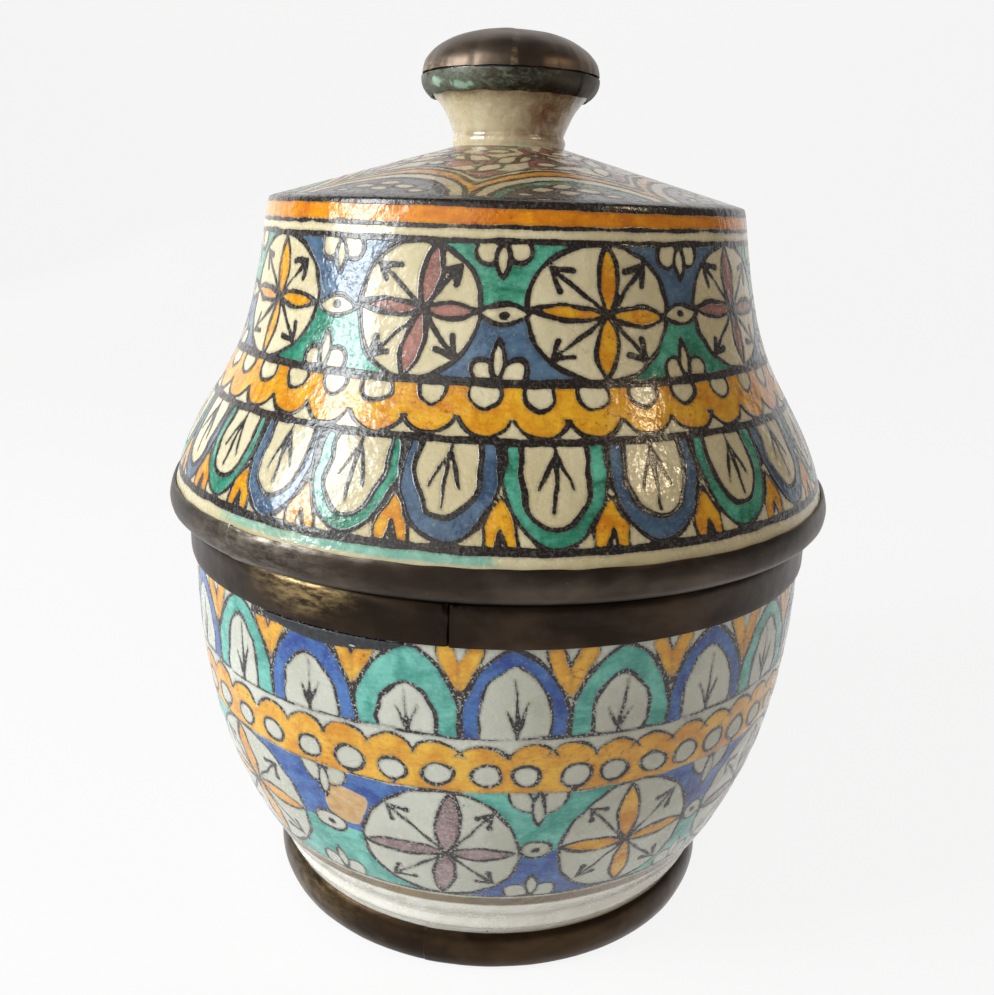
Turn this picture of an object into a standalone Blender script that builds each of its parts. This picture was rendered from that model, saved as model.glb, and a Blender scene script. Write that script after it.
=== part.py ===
"""A lidded ceramic butter jar with metal mounts, in metres, +Z up, standing on z = 0 with its axis on Z.

The jar and the lid are thrown earthenware. Sheet metal is wrapped round the foot, the mouth, the lid's
rim and the knob, and each wrapping follows the clay's own outline at a small clearance. The front of the
jar faces -Y, and an azimuth is counted from the front towards +X. The lid lifts straight up off the jar.
"""

import math

import bmesh
import bpy
from mathutils import Vector
from mathutils.geometry import interpolate_bezier

# Fits
GAP = 0.0003
FLANGE_CLEARANCE = 0.0018

# Sheet metal and its lapped seams
SHEET = 0.0008
SEAM_STEP = 0.0005
SEAM_LENGTH = 0.0080
SEAM_EDGE = 0.0003

# Foot
FOOT_RADIUS = 0.0770
FOOT_HEIGHT = 0.0195
FOOT_GROOVE_DEPTH = 0.0024
FOOT_FILLET_HEIGHT = 0.0030
FOOT_RIM_WIDTH = 0.0110
FOOT_RECESS = 0.0068
FOOT_RING_HEIGHT = 0.0125
FOOT_RING_SWELL = 0.0023
FOOT_RING_TUCK = 0.0006
FOOT_RING_LAP = 0.0070

# Bowl
BOWL_HEIGHT = 0.1018
NECK_RADIUS = 0.1020
NECK_LEAN = math.radians(1.2)
BOWL_DROP = 0.0597
BOWL_SPRING = 0.0158
BOWL_SPRING_ANGLE = math.radians(53.8)
JAR_WALL = 0.0070
JAR_FLOOR = 0.0120
FLOOR_RADIUS = 0.0400

# Mouth and collar
COLLAR_HEIGHT = 0.0129
COLLAR_SKIRT = 0.0085
RIM_ROUND = 0.0020

# Dark bedding squeezed out below the collar
BEDDING_START = math.radians(-38.0)
BEDDING_END = math.radians(-13.0)
BEDDING_DEPTH = 0.0042
BEDDING_THICKNESS = 0.0009
BEDDING_THINNEST = 0.0006
BEDDING_FULLNESS = 0.7
BEDDING_FACE = 0.6
BEDDING_STEPS = 24

# Lid
LID_OVERHANG = 0.0044
LID_RIM_HEIGHT = 0.0088
LID_RIM_SWELL = 0.0012
LID_RIM_TUCK = 0.0022
LID_WALL_HEIGHT = 0.0847
LID_RIM_ANGLE = math.radians(14.0)
LID_FLARE_RADIUS = 0.0913
LID_FLARE_HEIGHT = 0.0311
LID_FLARE_ANGLE = math.radians(32.5)
LID_SHOULDER_RADIUS = 0.0752
LID_SHOULDER_ANGLE = math.radians(10.5)
SHOULDER_ROUND = 0.0016
LID_WALL = 0.0065
CONE_ANGLE = math.radians(16.0)
FLANGE_DEPTH = 0.0090
FLANGE_WALL = 0.0060
GALLERY_HEIGHT = 0.0150
VAULT_HEIGHT = 0.0104
BAND_LAP_CLEARANCE = 0.0025

# Knob
NECK_WAIST_RADIUS = 0.0173
NECK_BEAD = 0.0007
NECK_BEAD_HEIGHT = 0.0036
KNOB_NECK_HEIGHT = 0.0152
KNOB_THROAT_RADIUS = 0.0242
KNOB_CORE_RADIUS = 0.0268
KNOB_BAND_HEIGHT = 0.0058
KNOB_DOME_HEIGHT = 0.0125

# How far each curve's handle reaches, as a share of the height or width that the curve spans
FOOT_RING_PULL = 0.20
RECESS_DRAFT = 0.25
RIM_PULL_DOWN = 0.50
RIM_PULL_OUT = 1.30
FLANK_UPPER_PULL = 0.36
FLANK_LOWER_PULL = 0.42
VAULT_PULL = 0.20
DOME_PULL_OUT = 0.64
DOME_PULL_UP = 0.52
KNOB_SIDE_PULL = 0.45
KNOB_NECK_FLARE = 0.35
KNOB_NECK_RISE = 0.50
KNOB_NECK_LEAN = 0.20
ARC_PULL = 0.5523

# Where the sheet ends lap, as azimuths
COLLAR_SEAM = math.radians(-7.3)
LID_BAND_SEAM = math.radians(-42.0)
FOOT_RING_SEAM = math.radians(-14.3)
KNOB_BAND_SEAM = math.radians(50.0)

# Fineness of the turned surfaces
TURN_STEPS = 56
KNOB_STEPS = 36
CURVE_STEPS = 9
SHORT_CURVE_STEPS = 5
ARC_STEPS = 2
SHARP_ANGLE = math.radians(35.0)

# Heights that follow from the sizes above
PAD_Z = SHEET + GAP
RECESS_Z = PAD_Z + FOOT_RECESS
FLOOR_Z = RECESS_Z + JAR_FLOOR
COLLAR_Z = FOOT_HEIGHT + BOWL_HEIGHT
COLLAR_TOP_Z = COLLAR_Z + COLLAR_HEIGHT
MOUTH_Z = COLLAR_TOP_Z - SHEET - GAP
LID_SEAT_Z = COLLAR_TOP_Z + GAP
LID_UNDER_Z = LID_SEAT_Z + SHEET + GAP
LID_LINE_Z = LID_UNDER_Z + LID_RIM_HEIGHT
SHOULDER_Z = LID_LINE_Z + LID_WALL_HEIGHT

# Radii that follow from the sizes above
MOUTH_RADIUS = NECK_RADIUS - JAR_WALL
LID_RIM_RADIUS = NECK_RADIUS + LID_OVERHANG
FLANGE_RADIUS = MOUTH_RADIUS - GAP - SHEET - FLANGE_CLEARANCE
FLANGE_BORE = FLANGE_RADIUS - FLANGE_WALL
BAND_BORE = FLANGE_RADIUS + BAND_LAP_CLEARANCE
CONE_TOP_RADIUS = LID_SHOULDER_RADIUS - SHOULDER_ROUND
KNOB_BASE_Z = SHOULDER_Z + SHOULDER_ROUND + (CONE_TOP_RADIUS - NECK_WAIST_RADIUS) * math.tan(CONE_ANGLE)
KNOB_BAND_Z = KNOB_BASE_Z + KNOB_NECK_HEIGHT
CAP_EDGE_Z = KNOB_BAND_Z + KNOB_BAND_HEIGHT

DOWN = Vector((0.0, -1.0))
UP = Vector((0.0, 1.0))
OUT = Vector((1.0, 0.0))
IN = Vector((-1.0, 0.0))


def point(radius, height):
    return Vector((radius, height))


def leaning(angle):
    """Direction down a wall that leans outwards by this angle from the vertical."""
    return Vector((math.sin(angle), -math.cos(angle)))


def curve(start, start_pull, end, end_pull, steps):
    """A Bezier curve: each pull is the handle's vector, pointing from its own end into the curve."""
    return interpolate_bezier(start, start + start_pull, end + end_pull, end, steps + 1)


def quarter_round(start, corner, end):
    """An arc from start to end that is tangent to the lines that meet at the corner."""
    return curve(start, (corner - start) * ARC_PULL, end, (corner - end) * ARC_PULL, ARC_STEPS)


def outward_normals(path):
    """Unit normals on the left-hand side of travel, mitred so that an offset keeps its distance."""
    sides = []
    for first, second in zip(path, path[1:]):
        along = (second - first).normalized()
        sides.append(Vector((-along.y, along.x)))
    normals = [sides[0]]
    for before, after in zip(sides, sides[1:]):
        middle = (before + after).normalized()
        normals.append(middle / middle.dot(before))
    normals.append(sides[-1])
    return normals


def offset(path, distance):
    return [spot + normal * distance for spot, normal in zip(path, outward_normals(path))]


# Outlines run the way that keeps the clay on the right: inside the jar upwards, outside downwards


def mouth_path():
    """The jar's rim under the collar, from the skirt's lower edge inside to the collar's edge outside."""
    inner_corner = point(MOUTH_RADIUS, MOUTH_Z)
    outer_corner = point(NECK_RADIUS, MOUTH_Z)
    inside = quarter_round(inner_corner + DOWN * RIM_ROUND, inner_corner, inner_corner + OUT * RIM_ROUND)
    outside = quarter_round(outer_corner + IN * RIM_ROUND, outer_corner, outer_corner + DOWN * RIM_ROUND)
    return [point(MOUTH_RADIUS, MOUTH_Z - COLLAR_SKIRT)] + inside + outside + [point(NECK_RADIUS, COLLAR_Z)]


def foot_path():
    """The foot under its metal ring, from the ring's upper edge down the outside and in beneath."""
    top = point(FOOT_RADIUS - FOOT_GROOVE_DEPTH, FOOT_RING_HEIGHT)
    bottom = point(top.x - FOOT_RING_TUCK, PAD_Z)
    swell = Vector((FOOT_RING_SWELL, -FOOT_RING_HEIGHT * FOOT_RING_PULL))
    side = curve(top, swell, bottom, OUT * (FOOT_RING_TUCK + FOOT_RING_SWELL), SHORT_CURVE_STEPS)
    return side + [bottom + IN * FOOT_RING_LAP]


def jar_outline():
    floor_edge = point(FLOOR_RADIUS, FLOOR_Z)
    inner_neck = point(MOUTH_RADIUS, COLLAR_Z)
    floor_pull = OUT * (FOOT_RADIUS + BOWL_SPRING - JAR_WALL - FLOOR_RADIUS)
    inside = curve(floor_edge, floor_pull, inner_neck, DOWN * BOWL_DROP, CURVE_STEPS)
    neck = point(NECK_RADIUS, COLLAR_Z)
    spring = point(FOOT_RADIUS, FOOT_HEIGHT)
    rise = Vector((math.cos(BOWL_SPRING_ANGLE), math.sin(BOWL_SPRING_ANGLE))) * BOWL_SPRING
    outside = curve(neck, leaning(NECK_LEAN) * BOWL_DROP, spring, rise, CURVE_STEPS)
    fillet = spring + DOWN * FOOT_FILLET_HEIGHT
    foot = foot_path()
    groove = point(foot[0].x, foot[0].y + GAP + SHEET)
    pad_edge = point(FOOT_RADIUS - FOOT_GROOVE_DEPTH - FOOT_RIM_WIDTH, PAD_Z)
    recess = point(pad_edge.x - FOOT_RECESS * RECESS_DRAFT, RECESS_Z)
    rim = mouth_path()[:-1]
    bottom = [pad_edge, recess, point(0.0, RECESS_Z)]
    return [point(0.0, FLOOR_Z)] + inside + rim + outside + [fillet, groove] + foot + bottom


def rim_path():
    """The lid's rim under its band, from the band's upper edge down the outside and in beneath."""
    line = point(LID_RIM_RADIUS, LID_LINE_Z)
    under = point(LID_RIM_RADIUS - LID_RIM_TUCK, LID_UNDER_Z)
    swell = Vector((LID_RIM_SWELL * RIM_PULL_OUT, -LID_RIM_HEIGHT * RIM_PULL_DOWN))
    spread = OUT * (LID_RIM_TUCK + LID_RIM_SWELL) * RIM_PULL_OUT
    side = curve(line, swell, under, spread, SHORT_CURVE_STEPS)
    return side + [point(BAND_BORE, LID_UNDER_Z)]


def lid_wall():
    """The lid's flank, an S curve from under the shoulder to the line where the metal band begins."""
    shoulder = point(LID_SHOULDER_RADIUS, SHOULDER_Z)
    flare = point(LID_FLARE_RADIUS, LID_LINE_Z + LID_FLARE_HEIGHT)
    line = point(LID_RIM_RADIUS, LID_LINE_Z)
    lean = leaning(LID_FLARE_ANGLE)
    upper_reach = (shoulder.y - flare.y) * FLANK_UPPER_PULL
    lower_reach = (flare.y - line.y) * FLANK_LOWER_PULL
    steep = leaning(LID_SHOULDER_ANGLE)
    settled = leaning(LID_RIM_ANGLE)
    upper = curve(shoulder, steep * upper_reach, flare, -lean * upper_reach, CURVE_STEPS - 3)
    lower = curve(flare, lean * lower_reach, line, -settled * lower_reach, SHORT_CURVE_STEPS - 1)
    return upper + lower[1:]


def dome_path():
    """The knob's crown under the cap, from the axis out and down to the cap's edge."""
    crown = point(0.0, CAP_EDGE_Z + KNOB_DOME_HEIGHT)
    edge = point(KNOB_CORE_RADIUS, CAP_EDGE_Z)
    spread = OUT * KNOB_CORE_RADIUS * DOME_PULL_OUT
    rise = UP * KNOB_DOME_HEIGHT * DOME_PULL_UP
    return curve(crown, spread, edge, rise, SHORT_CURVE_STEPS + 1)


def knob_side_path():
    """The knob's side under its lower strip, from just below the cap's edge in towards the throat."""
    top = point(KNOB_CORE_RADIUS, CAP_EDGE_Z - GAP)
    throat = point(KNOB_THROAT_RADIUS, KNOB_BAND_Z)
    drop = (top.y - throat.y) * KNOB_SIDE_PULL
    return curve(top, DOWN * drop, throat, Vector((drop, drop)), SHORT_CURVE_STEPS - 2)


def knob_neck():
    """The bare neck between the strip and the lid's cone, with a small bead at its base."""
    throat = point(KNOB_THROAT_RADIUS, KNOB_BAND_Z)
    waist = point(NECK_WAIST_RADIUS, KNOB_BASE_Z + NECK_BEAD_HEIGHT)
    span = throat.y - waist.y
    flare = Vector((-span, -span)) * KNOB_NECK_FLARE
    rise = Vector((span * KNOB_NECK_LEAN, span * KNOB_NECK_RISE))
    neck = curve(throat, flare, waist, rise, SHORT_CURVE_STEPS)
    bead = point(NECK_WAIST_RADIUS + NECK_BEAD, KNOB_BASE_Z + NECK_BEAD_HEIGHT / 2)
    return neck[1:] + [bead, point(NECK_WAIST_RADIUS + NECK_BEAD / 2, KNOB_BASE_Z)]


def lid_inside():
    """The hollow under the lid, from the flange's bore up the wall to the ceiling below the knob."""
    wall = offset(lid_wall(), -LID_WALL)
    wall.reverse()
    slope = math.tan(CONE_ANGLE)
    ceiling_edge = point(wall[-1].x, SHOULDER_Z - LID_WALL)
    ceiling_top = point(NECK_WAIST_RADIUS, ceiling_edge.y + (ceiling_edge.x - NECK_WAIST_RADIUS) * slope)
    low = LID_UNDER_Z + GALLERY_HEIGHT
    high = SHOULDER_Z - VAULT_HEIGHT
    kept = [spot for spot in wall if low < spot.y < high]
    vault = quarter_round(kept[-1], ceiling_edge, ceiling_edge.lerp(ceiling_top, VAULT_PULL))
    return kept + vault[1:] + [ceiling_top, point(0.0, ceiling_top.y)]


def lid_outline():
    shoulder = point(LID_SHOULDER_RADIUS, SHOULDER_Z)
    cone_edge = point(CONE_TOP_RADIUS, SHOULDER_Z + SHOULDER_ROUND)
    inset = SHOULDER_ROUND * (1 - math.sqrt(0.5))
    corner = point(shoulder.x - inset, cone_edge.y - inset)
    crown = dome_path() + knob_side_path() + knob_neck()
    flange_top = point(FLANGE_RADIUS, LID_UNDER_Z)
    flange_end = point(FLANGE_RADIUS, LID_UNDER_Z - FLANGE_DEPTH)
    flange_inner = point(FLANGE_BORE, flange_end.y)
    gallery = point(FLANGE_BORE, LID_UNDER_Z + GAP)
    flange = [flange_top, flange_end, flange_inner, gallery]
    return crown + [cone_edge, corner] + lid_wall() + rim_path()[1:] + flange + lid_inside()


# Solids of revolution


def at_azimuth(azimuth, radius, height):
    return Vector((radius * math.sin(azimuth), -radius * math.cos(azimuth), height))


def turn_azimuths(steps, seam, radius):
    """Even azimuths, with those near a seam replaced by the ends of its step and of its lap."""
    even = [2 * math.pi * step / steps for step in range(steps)]
    if seam is None:
        return even
    lap = SEAM_LENGTH / radius
    marks = [0.0, SEAM_EDGE / radius, lap / 2, lap]
    near = math.pi / steps / 2
    kept = [a for a in even if all(abs(turn_from(seam, a) - mark) > near for mark in marks)]
    return sorted(kept + [(seam + mark) % (2 * math.pi) for mark in marks])


def turn_from(seam, azimuth):
    """Signed angle from the seam to the azimuth, within half a turn each way."""
    return (azimuth - seam + math.pi) % (2 * math.pi) - math.pi


def seam_rise(seam, azimuth, radius):
    """How far the sheet stands proud: a sharp step at the seam that eases away over the lap."""
    if seam is None:
        return 0.0
    along = turn_from(seam, azimuth) * radius
    if along < SEAM_EDGE / 2 or along > SEAM_LENGTH:
        return 0.0
    return SEAM_STEP * (1 - along / SEAM_LENGTH)


def finish_object(name, shape, material):
    bmesh.ops.recalc_face_normals(shape, faces=shape.faces)
    mesh = bpy.data.meshes.new(name)
    shape.to_mesh(mesh)
    shape.free()
    mesh.shade_smooth()
    mesh.set_sharp_from_angle(angle=SHARP_ANGLE)
    mesh.materials.append(material)
    made = bpy.data.objects.new(name, mesh)
    bpy.context.scene.collection.objects.link(made)
    return made


def turned(name, outline, material, steps, closed=False, seam=None, proud=None):
    """Turns an outline round the axis. An open outline starts and ends on the axis.

    proud holds, for each point of the outline, how much of a seam's step it takes.
    """
    shape = bmesh.new()
    widest = max(spot.x for spot in outline)
    proud = proud or [0.0] * len(outline)
    azimuths = turn_azimuths(steps, seam, widest)
    on_axis = {}
    rings = []
    for azimuth in azimuths:
        ring = []
        rise = seam_rise(seam, azimuth, widest)
        for index, (spot, share) in enumerate(zip(outline, proud)):
            if spot.x == 0.0:
                if index not in on_axis:
                    on_axis[index] = shape.verts.new((0.0, 0.0, spot.y))
                ring.append(on_axis[index])
            else:
                ring.append(shape.verts.new(at_azimuth(azimuth, spot.x + rise * share, spot.y)))
        rings.append(ring)
    last = len(outline) if closed else len(outline) - 1
    for ring, following in zip(rings, rings[1:] + rings[:1]):
        for index in range(last):
            after = (index + 1) % len(outline)
            corners = [ring[index], following[index], following[after], ring[after]]
            shape.faces.new(list(dict.fromkeys(corners)))
    return finish_object(name, shape, material)


def sheet_over(name, path, material, steps, seam=None):
    """Sheet metal that follows a path on the clay at the standard clearance."""
    inner = offset(path, GAP)
    outer = offset(path, GAP + SHEET)
    outward = [max(0.0, normal.normalized().x) for normal in outward_normals(path)]
    outer.reverse()
    outward.reverse()
    closed = inner[0].x > 0.0
    if not closed:
        inner[0].x = 0.0
        outer[-1].x = 0.0
    return turned(name, inner + outer, material, steps, closed, seam, [0.0] * len(inner) + outward)


# Pieces


def add_material(name, color, roughness, metallic=0.0):
    material = bpy.data.materials.new(name)
    material.use_nodes = True
    shader = material.node_tree.nodes["Principled BSDF"]
    shader.inputs["Base Color"].default_value = (*color, 1.0)
    shader.inputs["Roughness"].default_value = roughness
    shader.inputs["Metallic"].default_value = metallic
    material.diffuse_color = (*color, 1.0)
    return material


def add_bedding(material):
    """The dark strip that shows under the collar at the front left, deepest in its middle."""
    shape = bmesh.new()
    inner = NECK_RADIUS + GAP
    outer = inner + BEDDING_THICKNESS
    top = COLLAR_Z - GAP
    rings = []
    for step in range(BEDDING_STEPS + 1):
        share = step / BEDDING_STEPS
        azimuth = BEDDING_START + (BEDDING_END - BEDDING_START) * share
        fullness = math.sin(math.pi * share) ** BEDDING_FULLNESS
        depth = BEDDING_THINNEST + (BEDDING_DEPTH - BEDDING_THINNEST) * fullness
        outline = [
            point(inner, top),
            point(outer, top),
            point(outer, top - depth * BEDDING_FACE),
            point(inner + BEDDING_THICKNESS / 2, top - depth),
            point(inner, top - depth),
        ]
        rings.append([shape.verts.new(at_azimuth(azimuth, spot.x, spot.y)) for spot in outline])
    for ring, following in zip(rings, rings[1:]):
        for index in range(len(ring)):
            after = (index + 1) % len(ring)
            shape.faces.new([ring[index], following[index], following[after], ring[after]])
    shape.faces.new(rings[0])
    shape.faces.new(list(reversed(rings[-1])))
    return finish_object("collar_bedding", shape, material)


def add_empty(name, height):
    empty = bpy.data.objects.new(name, None)
    empty.location = (0.0, 0.0, height)
    bpy.context.scene.collection.objects.link(empty)
    return empty


def hang_on(empty, pieces):
    """Parents the pieces to an empty on the axis and leaves them where they are."""
    for piece in pieces:
        piece.parent = empty
        piece.location = -empty.location


def build_jar(clay, bronze, brass, pitch):
    body = turned("jar_body", jar_outline(), clay, TURN_STEPS)
    collar = sheet_over("neck_collar", mouth_path(), bronze, TURN_STEPS, COLLAR_SEAM)
    ring = sheet_over("foot_ring", foot_path(), brass, TURN_STEPS, FOOT_RING_SEAM)
    bedding = add_bedding(pitch)
    hang_on(add_empty("jar", 0.0), [body, collar, ring, bedding])


def build_lid(clay, bronze, verdigris):
    body = turned("lid_body", lid_outline(), clay, TURN_STEPS)
    band = sheet_over("lid_edge_band", rim_path(), bronze, TURN_STEPS, LID_BAND_SEAM)
    cap = sheet_over("knob_cap", dome_path(), bronze, KNOB_STEPS)
    strip = sheet_over("knob_band", knob_side_path(), verdigris, KNOB_STEPS, KNOB_BAND_SEAM)
    hang_on(add_empty("lid", LID_SEAT_Z), [body, band, cap, strip])


def main():
    for old in list(bpy.data.objects):
        bpy.data.objects.remove(old, do_unlink=True)
    jar_clay = add_material("painted_jar_glaze", (0.60, 0.63, 0.53), 0.22)
    lid_clay = add_material("painted_lid_glaze", (0.66, 0.61, 0.42), 0.18)
    bronze = add_material("dark_bronze_sheet", (0.115, 0.088, 0.066), 0.38, 1.0)
    brass = add_material("brassy_sheet", (0.20, 0.155, 0.090), 0.34, 1.0)
    verdigris = add_material("verdigris_sheet", (0.13, 0.17, 0.13), 0.60, 0.7)
    pitch = add_material("black_pitch", (0.020, 0.017, 0.015), 0.55)
    build_jar(jar_clay, bronze, brass, pitch)
    build_lid(lid_clay, bronze, verdigris)


main()
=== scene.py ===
"""The looks of a lidded butter jar: painted tin glaze, worn sheet metal, a pale studio and a camera.

Profiles and the painted pattern are in millimetres. They become metres where a mesh is made. An azimuth is
counted from the front of the jar, at -Y, towards +X. A path is the length along a turned outline.
"""

import math

import bpy
import numpy as np
from mathutils import Matrix, Vector


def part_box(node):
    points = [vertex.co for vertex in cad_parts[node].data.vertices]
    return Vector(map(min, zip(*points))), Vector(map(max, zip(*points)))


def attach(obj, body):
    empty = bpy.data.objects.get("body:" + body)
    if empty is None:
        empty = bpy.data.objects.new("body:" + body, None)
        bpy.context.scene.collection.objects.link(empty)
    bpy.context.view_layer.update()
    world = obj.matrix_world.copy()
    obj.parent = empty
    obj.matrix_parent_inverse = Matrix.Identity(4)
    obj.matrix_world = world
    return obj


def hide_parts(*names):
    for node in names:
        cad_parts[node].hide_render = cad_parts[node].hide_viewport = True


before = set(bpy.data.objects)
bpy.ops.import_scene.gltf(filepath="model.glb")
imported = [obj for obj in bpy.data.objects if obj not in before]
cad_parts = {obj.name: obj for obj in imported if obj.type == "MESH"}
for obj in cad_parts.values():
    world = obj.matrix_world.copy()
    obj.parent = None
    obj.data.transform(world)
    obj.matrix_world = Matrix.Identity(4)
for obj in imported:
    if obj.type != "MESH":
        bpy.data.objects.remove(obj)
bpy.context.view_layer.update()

MM = 0.001
TURN = 2 * math.pi

# Camera, fitted to the photograph's outline
CAMERA_PLACE = (0.0, -0.330, 0.2284)
CAMERA_PITCH = math.radians(15.63)
CAMERA_ROLL = math.radians(1.70)
PHOTO_WIDTH = 994
PHOTO_HEIGHT = 995
FOCAL_PIXELS = 982.5
CENTRE_PIXEL = (498.6, 483.5)
SENSOR = 36.0

# Columns of the turned meshes
PAINTED_JAR_COLUMNS = 1080
PAINTED_LID_COLUMNS = 960
CONE_COLUMNS = 480
PLAIN_JAR_COLUMNS = 180
PLAIN_LID_COLUMNS = 160
SHEET_COLUMNS = 480
KNOB_COLUMNS = 240

# Spacing of their rows
PAINTED_ROW = 0.62
NECK_ROW = 0.6
KNOB_CORE_ROW = 2.5
FOOT_ROW = 1.6
HIDDEN_ROW = 5.0
SHEET_ROW = 0.8
STRIP_ROW = 0.5

# Turns, in degrees, from which a corner is rounded off, kept in a curve, or shaded as sharp
ROUNDED_TURN = 30
KEPT_TURN = 40
SHARP_TURN = 50

# Seams of the sheet metal, as azimuths in degrees
COLLAR_SEAM = -6.4
LID_BAND_SEAM = -42.0
FOOT_RING_SEAM = -14.3
KNOB_BAND_SEAM = 50.0

# The distance given where a pigment is nowhere near
FAR = 9.0


# Outlines


def outline_of(node):
    """A turned node's outline, as (radius, height) points in order, read at the azimuth of its back.

    A flat face has no edge there, so its two ends are joined straight.
    """
    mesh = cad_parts[node].data
    keys = {}
    for vertex in mesh.vertices:
        x, y, z = vertex.co / MM
        if abs(x) < 0.01 and y > -0.01:
            keys[vertex.index] = (round(y, 2), round(z, 2))
    beside = {key: set() for key in keys.values()}
    for edge in mesh.edges:
        first, second = (keys.get(index) for index in edge.vertices)
        if first and second and first != second:
            beside[first].add(second)
            beside[second].add(first)
    centres = [key for key in beside if key[0] < 0.1]
    for key in centres:
        beside[key] -= set(centres)
    ends = [key for key, others in beside.items() if len(others) == 1]
    spot = max(ends, key=lambda key: key[1]) if ends else min(beside, key=lambda key: key[1])
    left = set(beside)
    walked = []
    while spot:
        walked.append(spot)
        left.discard(spot)
        onward = [key for key in beside[spot] if key in left]
        if not onward:
            onward = sorted((key for key in ends if key in left), key=lambda key: -math.dist(key, spot))[-1:]
        spot = max(onward) if onward else None
    points = np.array(walked, float)
    points[points[:, 0] < 0.1, 0] = 0
    if ends:
        points = np.vstack([[0, points[0, 1]], points, [0, points[-1, 1]]])
        keep = np.r_[True, np.linalg.norm(np.diff(points, axis=0), axis=1) > 1e-6]
        points = points[keep]
    return points


def turning(before, spot, after):
    """The angle through which a path turns at a point."""
    first, second = spot - before, after - spot
    return abs(math.atan2(first[0] * second[1] - first[1] * second[0], float(first @ second)))


def corners_of(points, degrees):
    """The places inside a path where it turns by more than this."""
    inside = range(1, len(points) - 1)
    return [i for i in inside if turning(*points[i - 1 : i + 2]) > math.radians(degrees)]


def eased(points, reach, closed=False):
    """The same path with each sharp corner rounded off over this reach."""
    count = len(points)
    rounded = []
    for index, spot in enumerate(points):
        inside = closed or 0 < index < count - 1
        before, after = points[index - 1], points[(index + 1) % count]
        if not inside or turning(before, spot, after) < math.radians(ROUNDED_TURN):
            rounded.append(spot)
            continue
        cuts = []
        for other in (before, after):
            away = other - spot
            length = np.linalg.norm(away)
            cuts.append(spot + away / length * min(reach, length * 0.4))
        start, end = cuts
        rounded += [start, start * 0.25 + spot * 0.5 + end * 0.25, end]
    return np.array(rounded)


def on_way(first, second, start, end, t):
    """What lies at t, from first at start to second at end."""
    return (first * (end - t) + second * (t - start)) / (end - start)


def smooth_through(points, per_span=12):
    """A centripetal Catmull-Rom curve through the points, finely sampled."""
    ends = [2 * points[0] - points[1], *points, 2 * points[-1] - points[-2]]
    curve = [points[0]]
    for p0, p1, p2, p3 in zip(ends, ends[1:], ends[2:], ends[3:]):
        steps = [math.sqrt(max(np.linalg.norm(b - a), 1e-6)) for a, b in ((p0, p1), (p1, p2), (p2, p3))]
        t1, t2, t3 = np.cumsum(steps)
        for share in np.arange(1, per_span + 1) / per_span:
            t = t1 + (t2 - t1) * share
            middle = on_way(p1, p2, t1, t2, t)
            b1 = on_way(on_way(p0, p1, 0, t1, t), middle, 0, t2, t)
            b2 = on_way(middle, on_way(p2, p3, t2, t3, t), t1, t3, t)
            curve.append(on_way(b1, b2, t1, t2, t))
    return np.array(curve)


def even(points, spacing):
    """Evenly spaced points along a path, its two ends among them."""
    lengths = np.r_[0.0, np.cumsum(np.linalg.norm(np.diff(points, axis=0), axis=1))]
    count = max(1, round(lengths[-1] / spacing))
    marks = np.linspace(0.0, lengths[-1], count + 1)
    return np.column_stack([np.interp(marks, lengths, points[:, axis]) for axis in (0, 1)])


def resampled(points, spacing):
    """Even points on a smooth curve through the given ones, whose sharpest turns stay sharp."""
    corners = [0, *corners_of(points, KEPT_TURN), len(points) - 1]
    pieces = []
    for start, end in zip(corners, corners[1:]):
        span = points[start : end + 1]
        pieces.append(even(smooth_through(span) if len(span) > 2 else span, spacing)[:-1])
    return np.vstack(pieces + [points[-1:]])


def loop_rows(node, reach, spacing):
    """The rows of a sheet metal ring, round its whole section."""
    outline = eased(outline_of(node), reach, closed=True)
    return resampled(np.vstack([outline, outline[:1]]), spacing)[:-1]


def heights_of(node):
    """A node's lowest and highest height."""
    return [corner.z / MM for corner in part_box(node)]


# Turned meshes


class Turned:
    """Rings of points round the axis and the faces between them.

    A zone is its rows, as (radius, height) points, and the azimuths of its columns. Where zones meet, one has
    a whole number of columns for each of the other's. A row of zero radius is a single point.
    """

    def __init__(self, zones, closed=False):
        rings, parts = [], []
        count = 0
        path = 0.0
        before = zones[0][0][0]
        for zone, (rows, azimuths) in enumerate(zones):
            for row in rows:
                path += float(np.linalg.norm(row - before))
                before = row
                around = np.zeros(1) if row[0] < 1e-6 else azimuths
                parts.append([around, *(np.full(len(around), value) for value in (*row, path, zone))])
                rings.append(list(range(count, count + len(around))))
                count += len(around)
        self.azimuth, self.radius, self.height, self.path, self.zone = np.hstack(parts)
        self.faces = []
        for first, second in zip(rings, rings[1:] + (rings[:1] if closed else [])):
            self.faces += between(first, second)

    def degrees(self):
        return np.degrees(wrapped(self.azimuth))

    def make(self, name, material, attributes):
        """The mesh object, with each attribute as a number at each point."""
        x, y = self.radius * np.sin(self.azimuth), -self.radius * np.cos(self.azimuth)
        points = np.column_stack([x, y, self.height]) * MM
        faces = self.faces
        a, b, c = (points[[face[corner] for face in faces]] for corner in range(3))
        if np.einsum("ij,ij->i", a, np.cross(b, c)).sum() < 0:
            faces = [face[::-1] for face in faces]
        mesh = bpy.data.meshes.new(name)
        mesh.from_pydata(points.tolist(), [], faces)
        mesh.shade_smooth()
        mesh.set_sharp_from_angle(angle=math.radians(SHARP_TURN))
        for label, values in attributes.items():
            layer = mesh.attributes.new(label, "FLOAT", "POINT")
            layer.data.foreach_set("value", np.ascontiguousarray(values, np.float32))
        mesh.materials.append(material)
        return linked(name, mesh)


def linked(name, data):
    """A new object in the scene that shows this data."""
    made = bpy.data.objects.new(name, data)
    bpy.context.scene.collection.objects.link(made)
    return made


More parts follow.
